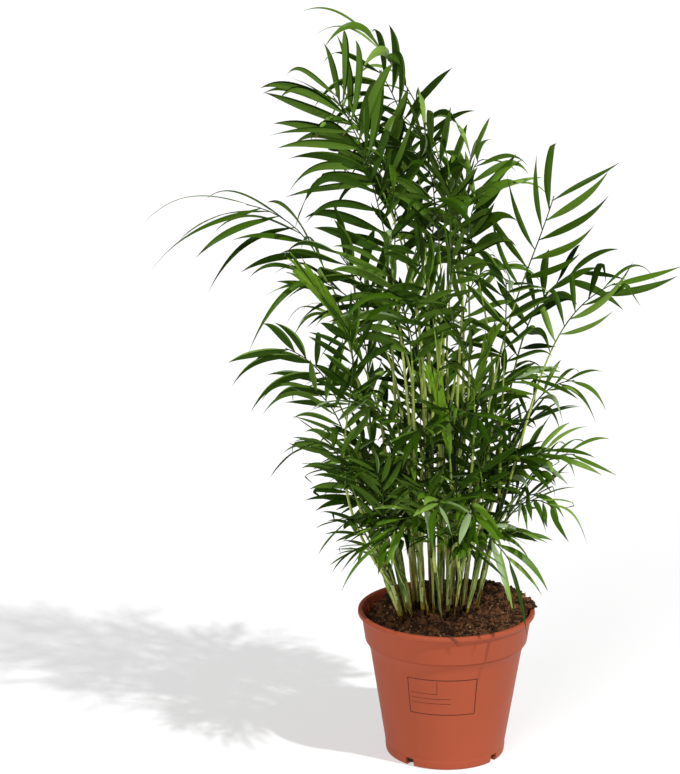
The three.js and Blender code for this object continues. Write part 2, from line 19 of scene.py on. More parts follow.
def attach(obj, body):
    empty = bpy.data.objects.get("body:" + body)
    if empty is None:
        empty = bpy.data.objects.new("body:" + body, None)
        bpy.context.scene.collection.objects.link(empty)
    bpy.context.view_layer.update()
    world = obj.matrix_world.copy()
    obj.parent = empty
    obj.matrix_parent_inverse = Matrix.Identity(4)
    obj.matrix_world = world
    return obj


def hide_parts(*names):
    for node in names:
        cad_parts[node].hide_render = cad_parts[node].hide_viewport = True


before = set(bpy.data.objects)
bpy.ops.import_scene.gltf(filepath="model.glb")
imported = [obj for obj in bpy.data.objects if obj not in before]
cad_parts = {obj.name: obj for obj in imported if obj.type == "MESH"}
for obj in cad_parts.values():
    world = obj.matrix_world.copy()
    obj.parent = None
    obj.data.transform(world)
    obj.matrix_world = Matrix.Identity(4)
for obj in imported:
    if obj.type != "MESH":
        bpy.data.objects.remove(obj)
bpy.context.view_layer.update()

# %% [markdown]
# ## Camera
#
# A product picture of a tall plant is taken with a long lens from a few metres away, a little
# above the pot, so that the crown isn't distorted and the peat still shows.  A long lens also
# keeps upright canes upright.  The sensor is measured along the picture's height.

# %% Place the camera
MM = 0.001
CAMERA_PLACE = (-102 * MM, -2452 * MM, 1009 * MM)
CAMERA_TILT = 14.76  # degrees below the horizon
CAMERA_LENS = 125.6  # mm
SENSOR_HEIGHT = 36  # mm

scene = bpy.context.scene


def add_object(name, data):
    """A new object in the scene, made of this mesh, lamp or camera."""
    made = bpy.data.objects.new(name, data)
    scene.collection.objects.link(made)
    return made


camera = add_object("camera", bpy.data.cameras.new("camera"))
camera.location = CAMERA_PLACE
camera.rotation_euler = (math.radians(90 - CAMERA_TILT), 0, 0)
camera.data.sensor_fit = "VERTICAL"
camera.data.sensor_height = SENSOR_HEIGHT
camera.data.lens = CAMERA_LENS
scene.camera = camera
print("camera", round(Vector(CAMERA_PLACE).length, 2), "m from the pot's foot")

# %% [markdown]
# ## Light and floor
#
# Two lights and a white sky make a studio.  The key comes from the front right, gives each
# leaflet a bright and a dark side and throws one leafy shadow to the back left.  A broad fill
# from near the camera reaches into the clump.  The floor glows a little, like a light table,
# which keeps its white clean and its shadow pale.  The standard view transform shows the
# colours as they are.

# %% Light the studio
SKY_STRENGTH = 0.22
FLOOR_GLOW = 0.46
FLOOR_WHITE = 0.55  # share of the light that the floor throws back


def add_sun(name, strength, softness, turn):
    """A sun with its width and turn in degrees."""
    sun = add_object(name, bpy.data.lights.new(name, "SUN"))
    sun.data.energy = strength
    sun.data.angle = math.radians(softness)
    sun.rotation_euler = [math.radians(value) for value in turn]


add_sun("key_light", strength=2.7, softness=1.7, turn=(40.4, 0, 50))
add_sun("fill_light", strength=1.5, softness=30, turn=(60, 0, -26))

sky = bpy.data.worlds.new("studio_sky")
sky.use_nodes = True
sky_light = sky.node_tree.nodes["Background"].inputs
sky_light["Color"].default_value = (1, 1, 1, 1)
sky_light["Strength"].default_value = SKY_STRENGTH
scene.world = sky
scene.view_settings.view_transform = "Standard"
print("sky", SKY_STRENGTH, "floor glow", FLOOR_GLOW)

# %% [markdown]
# ## Small tools
#
# The plant is worked out in millimetres, as a grower would measure it, and turned into metres
# when a mesh is made.  Nothing is random in the usual sense: `chance` gives the same number for
# the same two numbers, so the plant grows the same way each time.  The first number is mostly
# that of a frond or a crumb, and the second only keeps one choice apart from another.

# %% Numbers and directions
UP = np.array([0.0, 0.0, 1.0])


def chance(a, b):
    """A repeatable number from 0 to 1 for each pair of numbers."""
    wave = np.sin(a * 12.9898 + b * 78.233) * 43758.5453
    return wave - np.floor(wave)


def mix(low, high, share):
    return (1 - share) * low + share * high


def smooth(value, low, high):
    """0 below low, 1 above high, and an even curve between them."""
    share = np.clip((value - low) / (high - low), 0, 1)
    return share * share * (3 - 2 * share)


def unit(vectors):
    return vectors / np.linalg.norm(vectors, axis=-1, keepdims=True)


def square_to(vectors, along):
    """Unit vectors square to others, as near as can be to the given ones."""
    return unit(vectors - along * (vectors * along).sum(1, keepdims=True))


def heading(degrees):
    """The direction in the ground plane at an angle in degrees."""
    angle = math.radians(degrees)
    return np.array([math.cos(angle), math.sin(angle), 0.0])


def turned(vector, axis, degrees):
    """A vector turned about a unit axis."""
    angle = math.radians(degrees)
    along = axis * np.dot(axis, vector)
    return along + (vector - along) * math.cos(angle) + np.cross(axis, vector) * math.sin(angle)


def circle(sides):
    """Unit circle as [corner, (x, y)]."""
    angles = np.arange(sides) * 2 * np.pi / sides
    return np.stack([np.cos(angles), np.sin(angles)], axis=1)


# %% [markdown]
# ### Making a mesh
#
# Leaflets, crumbs and fibres are many small shapes that are joined into a few meshes.  A
# `Shapes` collects them, each face with its tone, which is the number of one of the piece's
# materials.  Handing out plain tones leaf by leaf keeps every colour where it belongs.

# %% Collect shapes into a piece
def mesh_of(name, points, faces):
    """A mesh from points in millimetres."""
    mesh = bpy.data.meshes.new(name)
    mesh.from_pydata((np.asarray(points) * MM).tolist(), [], faces)
    return mesh


class Shapes:
    def __init__(self):
        self.points, self.faces, self.tones = [], [], []
        self.places = []  # across and along, for finishes that follow a leaflet
        self.rims = []  # True at the points of a sharp rim
        self.total = 0

    def add(self, points, faces, tones, places=None, rims=None):
        """tones is one number for the whole shape, or one for each face."""
        count = len(points)
        self.points.append(points)
        self.faces.extend([[corner + self.total for corner in face] for face in faces])
        self.tones.append(np.broadcast_to(tones, len(faces)))
        self.places.append(np.zeros((count, 2)) if places is None else places)
        self.rims.append(np.zeros(count, bool) if rims is None else rims)
        self.total += count

    def piece(self, name, materials, slot, nodes, faceted=False):
        """The joined mesh, riding with the plant in place of the named solids."""
        mesh = mesh_of(name, np.concatenate(self.points), self.faces)
        for material in materials:
            mesh.materials.append(material)
        mesh.polygons.foreach_set("material_index", np.concatenate(self.tones).astype(np.int32))
        mesh.polygons.foreach_set("use_smooth", np.full(len(self.faces), not faceted))
        corners = np.empty(len(mesh.loops), np.int32)
        mesh.loops.foreach_get("vertex_index", corners)
        places = mesh.uv_layers.new(name="across_and_along")
        places.data.foreach_set("uv", np.concatenate(self.places)[corners].ravel().astype(np.float32))
        ends = np.empty(2 * len(mesh.edges), np.int32)
        mesh.edges.foreach_get("vertices", ends)
        rim = np.concatenate(self.rims)[ends.reshape(-1, 2)].all(axis=1)
        mesh.attributes.new("sharp_edge", "BOOLEAN", "EDGE").data.foreach_set("value", rim)
        made = add_object(name, mesh)
        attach(made, "root")
        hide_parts(*nodes)
        print(f"{name}: {sum(len(face) - 2 for face in self.faces)} triangles, {len(materials)} tones")


# %% [markdown]
# ### Rings into bodies
#
# Canes, stalks, fibres and printed lines are all one thing: a small ring of points carried
# along a line and joined ring to ring, with both ends closed.  The pot and the peat are rings
# too, large ones that are closed by a point on the pot's axis at both ends.

# %% Join rings
def between_rings(count, sides):
    """The four-sided faces that join rings of so many corners."""
    faces = []
    for low in range(0, (count - 1) * sides, sides):
        high = low + sides
        for side in range(sides):
            after = (side + 1) % sides
            faces.append([low + side, low + after, high + after, high + side])
    return faces


def sweep(rings):
    """Points and faces of a body with flat ends, from rings [ring, corner, xyz]."""
    count, sides = rings.shape[:2]
    ends = [list(range(sides))[::-1], [(count - 1) * sides + side for side in range(sides)]]
    return rings.reshape(-1, 3), between_rings(count, sides) + ends


def poled(rings, first, last):
    """Points and faces of a body from rings and the two points that close it."""
    count, sides = rings.shape[:2]
    pole, top = count * sides, (count - 1) * sides
    faces = between_rings(count, sides)
    for side in range(sides):
        after = (side + 1) % sides
        faces += [[pole, after, side], [pole + 1, top + side, top + after]]
    return np.concatenate([rings.reshape(-1, 3), [first, last]]), faces


def rod(line, radii, sides):
    """Rings of a round rod along a line, given as [place, xyz]."""
    along = unit(np.gradient(line, axis=0))
    guide = np.where(np.abs(along[:, 2:3]) > 0.9, [[0.0, 1.0, 0.0]], [UP])
    left = unit(np.cross(guide, along))
    upper = np.cross(along, left)
    ring = circle(sides)
    reach = np.asarray(radii)[:, None, None]
    return line[:, None] + reach * (ring[None, :, :1] * left[:, None] + ring[None, :, 1:] * upper[:, None])


# %% [markdown]
# ## Finishes
#
# Every finish starts from one colour that is darkened and lightened a little by noise, so that
# no surface is dead flat, and has a fine relief of its own: grain, veins or mottling.  Colours
# are given as they look on a screen and are turned into the renderer's linear values.

# %% Colours as seen
def seen(red, green, blue):
    """A colour from 0 to 255, as it looks, in linear values."""
    values = np.array([red, green, blue]) / 255
    return np.where(values < 0.04045, values / 12.92, ((values + 0.055) / 1.055) ** 2.4)


def opaque(colour):
    return (*[float(min(value, 1)) for value in colour], 1.0)


# %% [markdown]
# The noise is measured in the plant's own metres, so a scale of 200 makes spots about 5 mm
# across.  `stretch` draws the noise out along one direction, as in fibres.  A piece that has
# several tones gets one numbered finish for each.

# %% A mottled finish
NOISE_DETAIL = 4
RELIEF_DEPTH = 0.5 * MM


def add_node(material, kind, **values):
    """A new shader node, with the values of its inputs."""
    made = material.node_tree.nodes.new(f"ShaderNode{kind}")
    for name, value in values.items():
        made.inputs[name].default_value = value
    return made


def finish(name, colour, roughness, mottle=0.15, scale=120, relief=0.1, relief_scale=900,
           stretch=(1, 1, 1), specular=0.5):
    material = bpy.data.materials.new(name)
    material.use_nodes = True
    link = material.node_tree.links.new
    shader = material.node_tree.nodes["Principled BSDF"]
    shader.inputs["Roughness"].default_value = roughness
    shader.inputs["Specular IOR Level"].default_value = specular
    place = add_node(material, "TexCoord")
    drawn = add_node(material, "Mapping", Scale=stretch)
    spots = add_node(material, "TexNoise", Scale=scale, Detail=NOISE_DETAIL)
    blend = add_node(material, "Mix")
    blend.data_type = "RGBA"
    blend.inputs["A"].default_value = opaque(colour * (1 - mottle))
    blend.inputs["B"].default_value = opaque(colour * (1 + mottle))
    grain = add_node(material, "TexNoise", Scale=relief_scale)
    bump = add_node(material, "Bump", Strength=relief, Distance=RELIEF_DEPTH)
    link(place.outputs["Object"], drawn.inputs["Vector"])
    link(drawn.outputs["Vector"], spots.inputs["Vector"])
    link(spots.outputs["Fac"], blend.inputs["Factor"])
    link(blend.outputs["Result"], shader.inputs["Base Color"])
    link(drawn.outputs["Vector"], grain.inputs["Vector"])
    link(grain.outputs["Fac"], bump.inputs["Height"])
    link(bump.outputs["Normal"], shader.inputs["Normal"])
    return material


def finishes(name, colours, roughness, **settings):
    """One finish for each colour."""
    return [finish(f"{name}_{number}", seen(*colour), roughness, **settings)
            for number, colour in enumerate(colours)]


# %% [markdown]
# A leaflet has a firm, faintly glossy skin with lengthwise veins.  The veins follow the
# leaflet's own across-and-along places, so they run true on every one of them.

# %% A leaf finish
VEIN_SPACING = 1.1  # mm
VEIN_DEPTH = 0.12 * MM
WAVE_UNIT = 2 * math.pi / 20  # the wave texture repeats after this length at a scale of 1


def leaf_finish(name, colour, roughness, specular):
    material = finish(name, seen(*colour), roughness, mottle=0.13, scale=45, relief=0.15, relief_scale=700,
                      specular=specular)
    link = material.node_tree.links.new
    place = add_node(material, "UVMap")
    place.uv_map = "across_and_along"
    veins = add_node(material, "TexWave", Scale=WAVE_UNIT / VEIN_SPACING, Distortion=0.4)
    veins.wave_type = "BANDS"
    veins.bands_direction = "X"
    ridges = add_node(material, "Bump", Strength=0.35, Distance=VEIN_DEPTH)
    normal = material.node_tree.nodes["Principled BSDF"].inputs["Normal"]
    link(place.outputs["UV"], veins.inputs["Vector"])
    link(veins.outputs["Fac"], ridges.inputs["Height"])
    link(normal.links[0].from_socket, ridges.inputs["Normal"])
    link(ridges.outputs["Normal"], normal)
    return material


# %% [markdown]
# ## The pot
#
# The real pot is injection-moulded polypropylene: a tapered wall, a shoulder that swells out to
# a straight collar, a rolled lip that stiffens the rim, and four drain notches in the foot.  It
# is a turned shape, so its outline is drawn once and spun.  Every corner of a moulding has a
# small radius, and those radii catch the light, so each corner of the outline carries its own.

# %% Round the corners of an outline
POT_HEIGHT = 144
RIM_RADIUS = 85
BASE_RADIUS = 57
WALL = 1.6
LIP_HEIGHT = 5
COLLAR_HEIGHT = 30
COLLAR_RADIUS = 80.6
LEDGE = 4.6
ARC_STEPS = 5


def rounded(corners):
    """An outline from corners given as (radius, height, rounding)."""
    outline = []
    for number, (radius, height, rounding) in enumerate(corners):
        here = np.array([radius, height], float)
        if rounding == 0 or number in (0, len(corners) - 1):
            outline.append(here)
            continue
        before = np.array(corners[number - 1][:2], float)
        after = np.array(corners[number + 1][:2], float)
        first = here + unit(before - here) * rounding
        last = here + unit(after - here) * rounding
        for step in range(ARC_STEPS + 1):
            share = step / ARC_STEPS
            outline.append(mix(mix(first, here, share), mix(here, last, share), share))
    return np.array(outline)


# %% Draw the pot's outline
FOOT_RING = 13  # width of the ring that the pot stands on
FOOT_HOLLOW = 1.2  # how far the rest of its underside is off the floor
FOOT_BAND = 8  # a faint step a little above the floor
SHOULDER = 8  # height over which the wall swells out to the collar

collar_foot = POT_HEIGHT - COLLAR_HEIGHT
collar_foot_radius = COLLAR_RADIUS - 3
wall_foot = FOOT_BAND + 0.8
wall_foot_radius = BASE_RADIUS + 0.5
wall_top = collar_foot - SHOULDER
wall_top_radius = collar_foot_radius - LEDGE
lip_foot = POT_HEIGHT - LIP_HEIGHT
floor_level = WALL + 0.8
pot_outside = [
    (0, FOOT_HOLLOW, 0),
    (BASE_RADIUS - FOOT_RING, FOOT_HOLLOW, 0.6),
    (BASE_RADIUS - FOOT_RING + 1, 0, 0.6),
    (BASE_RADIUS, 0, 2.6),
    (BASE_RADIUS + 0.9, FOOT_BAND, 0.5),
    (wall_foot_radius, wall_foot, 0.5),
    (wall_top_radius, wall_top, 4),
    (collar_foot_radius - 1.3, collar_foot - 1.1, 0.3),
    (collar_foot_radius - 1.6, collar_foot - 0.6, 0.1),
    (collar_foot_radius, collar_foot - 0.1, 0.4),
    (COLLAR_RADIUS + 0.4, lip_foot - 2.6, 1.0),
    (RIM_RADIUS - 1.2, lip_foot - 0.3, 0.5),
    (RIM_RADIUS, lip_foot + 1.4, 0.7),
    (RIM_RADIUS - 0.4, POT_HEIGHT - 0.6, 0.9),
    (RIM_RADIUS - 1.8, POT_HEIGHT, 0.9),
    (COLLAR_RADIUS - 0.2, POT_HEIGHT - 0.3, 1.2),
]
pot_inside = [
    (COLLAR_RADIUS - WALL, lip_foot, 1.5),
    (collar_foot_radius - WALL, collar_foot + 1, 1.2),
    (wall_top_radius - WALL, wall_top, 1.2),
    (BASE_RADIUS - WALL - 1, floor_level, 2.0),
    (0, floor_level, 0),
]
pot_outline = rounded(pot_outside + pot_inside)
print("pot outline:", len(pot_outline), "points")

# %% Spin it
POT_SIDES = 160
POT_WOBBLE = 0.12  # mm that a thin rim is out of round


def spun(outline, sides, name):
    """An object from an outline turned about the pot's axis."""
    angles = np.arange(sides) * 2 * np.pi / sides
    radii, levels = outline[1:-1, :1], outline[1:-1, 1:]
    radii = radii + POT_WOBBLE * np.sin(2 * angles[None] + 0.7) * (levels / POT_HEIGHT)
    heights = np.broadcast_to(levels, radii.shape)
    rings = np.stack([radii * np.cos(angles), radii * np.sin(angles), heights], axis=2)
    points, faces = poled(rings, [0, 0, outline[0][1]], [0, 0, outline[-1][1]])
    return add_object(name, mesh_of(name, points, faces))


pot = spun(pot_outline, POT_SIDES, "nursery_pot")
print("pot before the notches:", len(pot.data.polygons), "faces")

# %% [markdown]
# A notch is a small box taken out of the foot with a Boolean modifier.  The modifier is applied
# at once by reading the finished mesh back, and the boxes are thrown away.

# %% Cut the notches
NOTCHES = 4
FIRST_NOTCH = -38  # degrees round the pot
NOTCH_HALF_WIDTH = 4.5
NOTCH_HEIGHT = 8
NOTCH_DEPTH = 9  # to each side of the foot's edge


def notch_box(degrees, name):
    """A box across the pot's foot, the size of one notch, turned to its place."""
    out = heading(degrees) * NOTCH_DEPTH
    middle = heading(degrees) * BASE_RADIUS
    across = heading(degrees + 90) * NOTCH_HALF_WIDTH
    square = [middle + way * out + side * across for way, side in ((-1, -1), (1, -1), (1, 1), (-1, 1))]
    rings = [[corner + UP * level for corner in square] for level in (-NOTCH_HEIGHT, NOTCH_HEIGHT)]
    return add_object(name, mesh_of(name, *sweep(np.array(rings))))


cutters = [notch_box(FIRST_NOTCH + 360 / NOTCHES * i, f"cutter_{i}") for i in range(NOTCHES)]
for cutter in cutters:
    cut = pot.modifiers.new(cutter.name, "BOOLEAN")
    cut.object = cutter
    cut.operation = "DIFFERENCE"
    cut.solver = "EXACT"
finished = bpy.data.meshes.new_from_object(pot.evaluated_get(bpy.context.evaluated_depsgraph_get()))
pot.modifiers.clear()
pot.data = finished
for cutter in cutters:
    bpy.data.objects.remove(cutter)
print("pot:", len(finished.polygons), "faces")

# %% [markdown]
# The plastic is dyed right through, so it has no paint to chip.  It looks soft and slightly
# waxy, with a broad highlight, and handling leaves it a little blotchy.

# %% Finish the pot
SHARP_ANGLE = 40  # degrees; flatter edges are shaded smoothly
pot_plastic = finish("terracotta_plastic", seen(158, 75, 49), 0.48, mottle=0.07, scale=14, relief=0.05,
                     relief_scale=500, specular=0.12)
finished.materials.append(pot_plastic)
finished.polygons.foreach_set("use_smooth", np.ones(len(finished.polygons), bool))
finished.set_sharp_from_angle(angle=math.radians(SHARP_ANGLE))
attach(pot, "root")
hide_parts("pot")

# %% [markdown]
# ### The printed box
#
# Growers print a thin-lined box on the wall of such a pot.  Here it stays a plain ruled form:
# an outline, a small empty field and two rules.  Each line is a flat strip of ink that
# follows the round wall, a tenth of a millimetre proud of it.  A place on the wall is given as
# degrees round the pot and a height.

# %% Rule the box
PRINT_LEFT, PRINT_RIGHT = -122.3, -67.8
PRINT_FOOT, PRINT_TOP = 59.8, 96.4
FIELD_LEFT, FIELD_RIGHT = PRINT_LEFT + 2, -99.0
FIELD_FOOT, FIELD_TOP = 81.5, PRINT_TOP - 2
RULE_RIGHT = -88
RULE_HEIGHTS = (76.5, 71.5)
OUTLINE_INK, THIN_INK = 0.7, 0.4  # widths
INK_DEPTH = 0.1
INK_STEP = 2.5  # degrees


def wall_radius(height):
    """Outside radius of the tapered wall."""
    return mix(wall_foot_radius, wall_top_radius, (height - wall_foot) / (wall_top - wall_foot))


def ink_line(shapes, width, left, foot, right, top):
    """A strip on the wall, level or upright."""
    steps = 2 + int(abs(right - left) / INK_STEP)
    rings = []
    for share in np.arange(steps + 1) / steps:
        degrees, height = mix(left, right, share), mix(foot, top, share)
        out = heading(degrees)
        middle = out * (wall_radius(height) + 0.5 * INK_DEPTH) + UP * height
        wide = (heading(degrees - 90) if left == right else UP) * 0.5 * width
        deep = out * INK_DEPTH * 0.5
        rings.append([middle - wide - deep, middle + wide - deep, middle + wide + deep, middle - wide + deep])
    shapes.add(*sweep(np.array(rings)), 0)


ink = Shapes()
ink_line(ink, OUTLINE_INK, PRINT_LEFT, PRINT_FOOT, PRINT_RIGHT, PRINT_FOOT)
ink_line(ink, OUTLINE_INK, PRINT_RIGHT, PRINT_FOOT, PRINT_RIGHT, PRINT_TOP)
ink_line(ink, OUTLINE_INK, PRINT_LEFT, PRINT_TOP, PRINT_RIGHT, PRINT_TOP)
ink_line(ink, OUTLINE_INK, PRINT_LEFT, PRINT_FOOT, PRINT_LEFT, PRINT_TOP)
ink_line(ink, THIN_INK, FIELD_LEFT, FIELD_FOOT, FIELD_RIGHT, FIELD_FOOT)
ink_line(ink, THIN_INK, FIELD_RIGHT, FIELD_FOOT, FIELD_RIGHT, FIELD_TOP)
for height in RULE_HEIGHTS:
    ink_line(ink, THIN_INK, FIELD_LEFT, height, RULE_RIGHT, height)
brown_ink = finish("brown_ink", seen(70, 30, 22), 0.6, mottle=0.3, scale=500, specular=0.2)
ink.piece("printed_box", [brown_ink], "pot", [])

# %% [markdown]
# ## The peat
#
# Fresh peat is a heap of crumbs.  A smooth disc, however well coloured, reads as mud, so the
# bed is a rough skin and on it lie real clods: little balls that noise has pushed out of
# shape, small ones everywhere and larger ones here and there.  The bed reaches down inside the
# pot, so it is a closed body, and it is higher towards one side, as it is after potting.

# %% Shape the bed
SOIL_LEVEL = 137
SOIL_BED = 54  # radius at which the heap begins to rise
SOIL_HEAP = 12
SOIL_HEAP_SIDE = 42  # degrees
SOIL_TOP = POT_HEIGHT + 3
CLEARANCE = 0.3
BED_RINGS = 44
BED_SPOKES = 150
BED_REACH = COLLAR_RADIUS - 2.4
inside_outline = [
    (BASE_RADIUS - WALL - 1, WALL),
    (wall_top_radius - WALL, wall_top),
    (collar_foot_radius - WALL, collar_foot + 1),
    (COLLAR_RADIUS - WALL, lip_foot),
    (COLLAR_RADIUS - 0.4, POT_HEIGHT - 1),
]


def inside_radius(height):
    radii, heights = zip(*inside_outline)
    return float(np.interp(height, heights, radii))


def bed_height(x, y):
    """Height of the peat, rough and heaped towards one side."""
    degrees = math.degrees(math.atan2(y, x))
    heap = SOIL_HEAP * math.cos(math.radians(degrees - SOIL_HEAP_SIDE))
    rough = sum(depth * noise.noise(Vector((x, y, seed)) / size)
                for depth, seed, size in ((4.2, 3, 12), (2.4, 9, 5), (1.2, 5, 2)))
    return SOIL_LEVEL + smooth(math.hypot(x, y), SOIL_BED - 24, SOIL_BED + 24) * heap + rough


def bed_point(spoke, share):
    """A place on the bed's skin, kept inside the pot's wall."""
    out = heading(360 / BED_SPOKES * spoke)
    x, y, _ = out * BED_REACH * share
    height = min(bed_height(x, y), SOIL_TOP)
    radius = min(math.hypot(x, y), inside_radius(height) - 0.5)
    return out * radius + UP * height


bed_rings = [[bed_point(spoke, ring / BED_RINGS) for spoke in range(BED_SPOKES)]
             for ring in range(1, BED_RINGS + 1)]
bed_foot = WALL + 1.2
for height in (POT_HEIGHT - 20, collar_foot + 1, wall_top - 2, bed_foot):
    bed_rings.append([heading(360 / BED_SPOKES * spoke) * (inside_radius(height) - 0.6) + UP * height
                      for spoke in range(BED_SPOKES)])
print("bed:", len(bed_rings), "rings")

# %% Join the bed
bed_points, bed_faces = poled(np.array(bed_rings), [0, 0, bed_height(0, 0)], [0, 0, bed_foot])
bed = Shapes()
bed.add(bed_points, [[face[0], *face[:0:-1]] for face in bed_faces], 0)  # turned to face outwards
PEAT_COLOURS = [(55, 35, 21), (94, 61, 37), (132, 91, 58), (154, 118, 84)]
peat_finishes = finishes("peat", PEAT_COLOURS, 0.95, mottle=0.4, scale=420, relief=0.5, relief_scale=1500,
                         specular=0.2)
bed.piece("peat_bed", peat_finishes[:1], "soil", ["soil"])

# %% [markdown]
# The crumbs share two little balls, a round one for the large clods and a rougher one of twenty
# faces for the small.  Each copy is squashed, turned and pushed about by noise, and sunk
# halfway into the bed.  Most are tiny and dark; a few are reddish, and a few are pale bits of
# bark.  They stay faceted, because broken peat has no smooth sides.

# %% Make the balls
def ball_of(divisions):
    """Points and faces of a ball made of triangles."""
    shape = bmesh.new()
    bmesh.ops.create_icosphere(shape, subdivisions=divisions, radius=1)
    shape.verts.ensure_lookup_table()
    points = np.array([vertex.co[:] for vertex in shape.verts])
    faces = [[vertex.index for vertex in face.verts] for face in shape.faces]
    shape.free()
    return points, faces


round_ball = ball_of(2)
small_ball = ball_of(1)
print("round ball:", len(round_ball[1]), "faces; small ball:", len(small_ball[1]))


# %% Scatter the clods
CLODS = 6200
CLOD_REACH = COLLAR_RADIUS - 3.5
GOLDEN_ANGLE = 137.508  # turning by it each time spreads places evenly over a disc
SMALL_CLODS = 0.9  # share of the clods
LARGE_SIZES, SMALL_SIZES = (1.4, 3.2), (0.45, 1.5)
CLOD_TONES = [0.46, 0.83, 0.985]  # where one tone gives way to the next
RIM_TONES = [0.55, 0.85, 0.97]
clods = Shapes()


def add_clod(number, place, size, ball, tone):
    """The ball as one lump of peat."""
    points, faces = ball
    squash = np.array([mix(0.7, 1.3, chance(number, k)) for k in (12, 13, 14)]) * [1, 1, 0.8]
    own = Vector((number * 3.1, 0, 0))
    lumps = np.array([1 + 0.9 * noise.noise(Vector(point * 1.9) + own) for point in points])
    shaped = points * lumps[:, None] * squash * size
    spin = chance(number, 11) * 360
    shaped = shaped[:, :1] * heading(spin) + shaped[:, 1:2] * heading(spin + 90) + shaped[:, 2:] * UP
    clods.add(shaped + place, faces, tone)


def kept_inside(x, y, radius):
    """The place itself, or the nearest one within this radius."""
    return np.array([x, y]) * min(1, radius / max(math.hypot(x, y), 1))


for number in range(CLODS):
    reach = CLOD_REACH * math.sqrt((number + 0.5) / CLODS)
    out = heading(GOLDEN_ANGLE * number + 40 * chance(number, 1)) * reach
    x, y = out[:2] + 3 * (chance(number, np.array([2, 3])) - 0.5)
    large = chance(number, 4) > SMALL_CLODS
    size = mix(*LARGE_SIZES, chance(number, 5)) if large else mix(*SMALL_SIZES, chance(number, 5) ** 1.6)
    level = min(bed_height(x, y), POT_HEIGHT + 4)
    place = np.array([*kept_inside(x, y, inside_radius(level) - 0.8 - size), level + 0.35 * size])
    tone = int(np.searchsorted(CLOD_TONES, chance(number, 6) + 0.25 * noise.noise(place / 9)))
    add_clod(number, place, size, round_ball if large else small_ball, min(tone, 1) if large else tone)

# %% [markdown]
# Where the peat was heaped too high some of it has rolled onto the rim.  Those crumbs sit on
# the lip, on the side where the heap is, and a few threads of root hang over the edge.

# %% Crumbs on the rim
RIM_CRUMBS = 130
RIM_NUMBERS = 5000  # added to a crumb's number, so that none is shaped like a clod
RIM_HEAPS = ((6, 12), (32, 44))  # degrees round the rim: the middle of a heap and its spread
for number in range(RIM_CRUMBS):
    middle, spread = RIM_HEAPS[number % 2]
    degrees = middle + spread * (chance(number, 21) + chance(number, 22) - 1)
    size = mix(0.8, 2.9, chance(number, 23) ** 1.4)
    radius = mix(COLLAR_RADIUS - 6, RIM_RADIUS - 0.5, chance(number, 24))
    level = POT_HEIGHT + 0.5 * size + 4.2 * chance(number, 25) * smooth(RIM_RADIUS - radius, 0, 6)
    tone = int(np.searchsorted(RIM_TONES, chance(number, 26)))
    add_clod(number + RIM_NUMBERS, heading(degrees) * radius + UP * level, size, round_ball, tone)
clods.piece("peat_crumbs", peat_finishes, "soil", [], faceted=True)

# %% Root threads in the peat
THREADS = 130
THREAD_POINTS = 7
THREAD_REACH = COLLAR_RADIUS - 4
threads = Shapes()
for number in range(THREADS):
    x, y = (heading(360 * chance(number, 32)) * THREAD_REACH * math.sqrt(chance(number, 31)))[:2]
    turn = 360 * chance(number, 33)
    length = mix(6, 20, chance(number, 34))
    line = []
    for step in range(THREAD_POINTS):
        level = min(bed_height(x, y), SOIL_TOP)
        x, y = kept_inside(x, y, inside_radius(level) - 1.5)
        line.append([x, y, level + 0.9 + 1.2 * chance(number, 40 + step)])
        turn += 70 * (chance(number, 50 + step) - 0.5)
        x, y = np.array([x, y]) + heading(turn)[:2] * length / THREAD_POINTS
        if math.hypot(x, y) > THREAD_REACH:
            turn += 150
            x, y = np.array([x, y]) * 0.96
    thick = mix(0.18, 0.42, chance(number, 35))
    threads.add(*sweep(rod(np.array(line), [thick] * THREAD_POINTS, 4)), number % 2)
print("threads:", THREADS)

# %% [markdown]
# Two threads hang over the front of the rim.  They follow the lip's own outline, so each is
# written as a few places on that outline, a little proud of the plastic.

# %% Threads over the rim
HANGING_LEVELS = (144.4, 145.2, 144.6, 142.6, 139.6, 136.4)
HANGING_THREADS = [  # direction in degrees, and distances from the pot's axis
    (-93, (79, 82, 84.4, 85.5, 85.6, 85.4)),
    (-91.5, (80, 83, 85.0, 85.6, 85.7)),
]
for turn, radii in HANGING_THREADS:
    line = [heading(turn + 1.6 * step) * reach + UP * level
            for step, (reach, level) in enumerate(zip(radii, HANGING_LEVELS))]
    threads.add(*sweep(rod(np.array(line), [0.35] * len(line), 5)), 1)
thread_finishes = [
    finish("root_thread_pale", seen(126, 92, 62), 0.8, mottle=0.2),
    finish("root_thread_dark", seen(70, 46, 34), 0.8, mottle=0.2),
]
threads.piece("root_threads", thread_finishes, "soil", [])

# %% [markdown]
# ## Where the canes and fronds go
#
# The solids were grown by a rule, and the finer plant follows the same rule so that every
# frond stays in its place.  The rule has three parts: where each cane stands, where each frond
# leaves its cane and where its tip is, and how a rib is turned a few degrees until it passes
# the ribs and canes that are there already.

# %% The canes
# foot x, foot y, top x, top y, top z, how thick next to the others
CANES = [
    (-43, -16, -76, -26, 236, 1.35),
    (-36, 6, -62, 4, 268, 0.9),
    (-30, 20, -40, 38, 300, 1.0),
    (-22, -4, -34, -16, 306, 1.1),
    (-14, 10, -20, 12, 330, 0.95),
    (-11, 32, -14, 58, 292, 0.9),
    (-3, 20, -4, 26, 352, 1.0),
    (1, -10, 2, -34, 262, 0.9),
    (5, 6, 8, 0, 330, 1.25),
    (12, 27, 16, 42, 322, 1.0),
    (17, 10, 32, 8, 300, 1.05),
    (25, 34, 48, 54, 274, 0.95),
    (28, 0, 54, -10, 262, 1.0),
]
CANE_FOOT = 3.6
CANE_TOP = 2.5


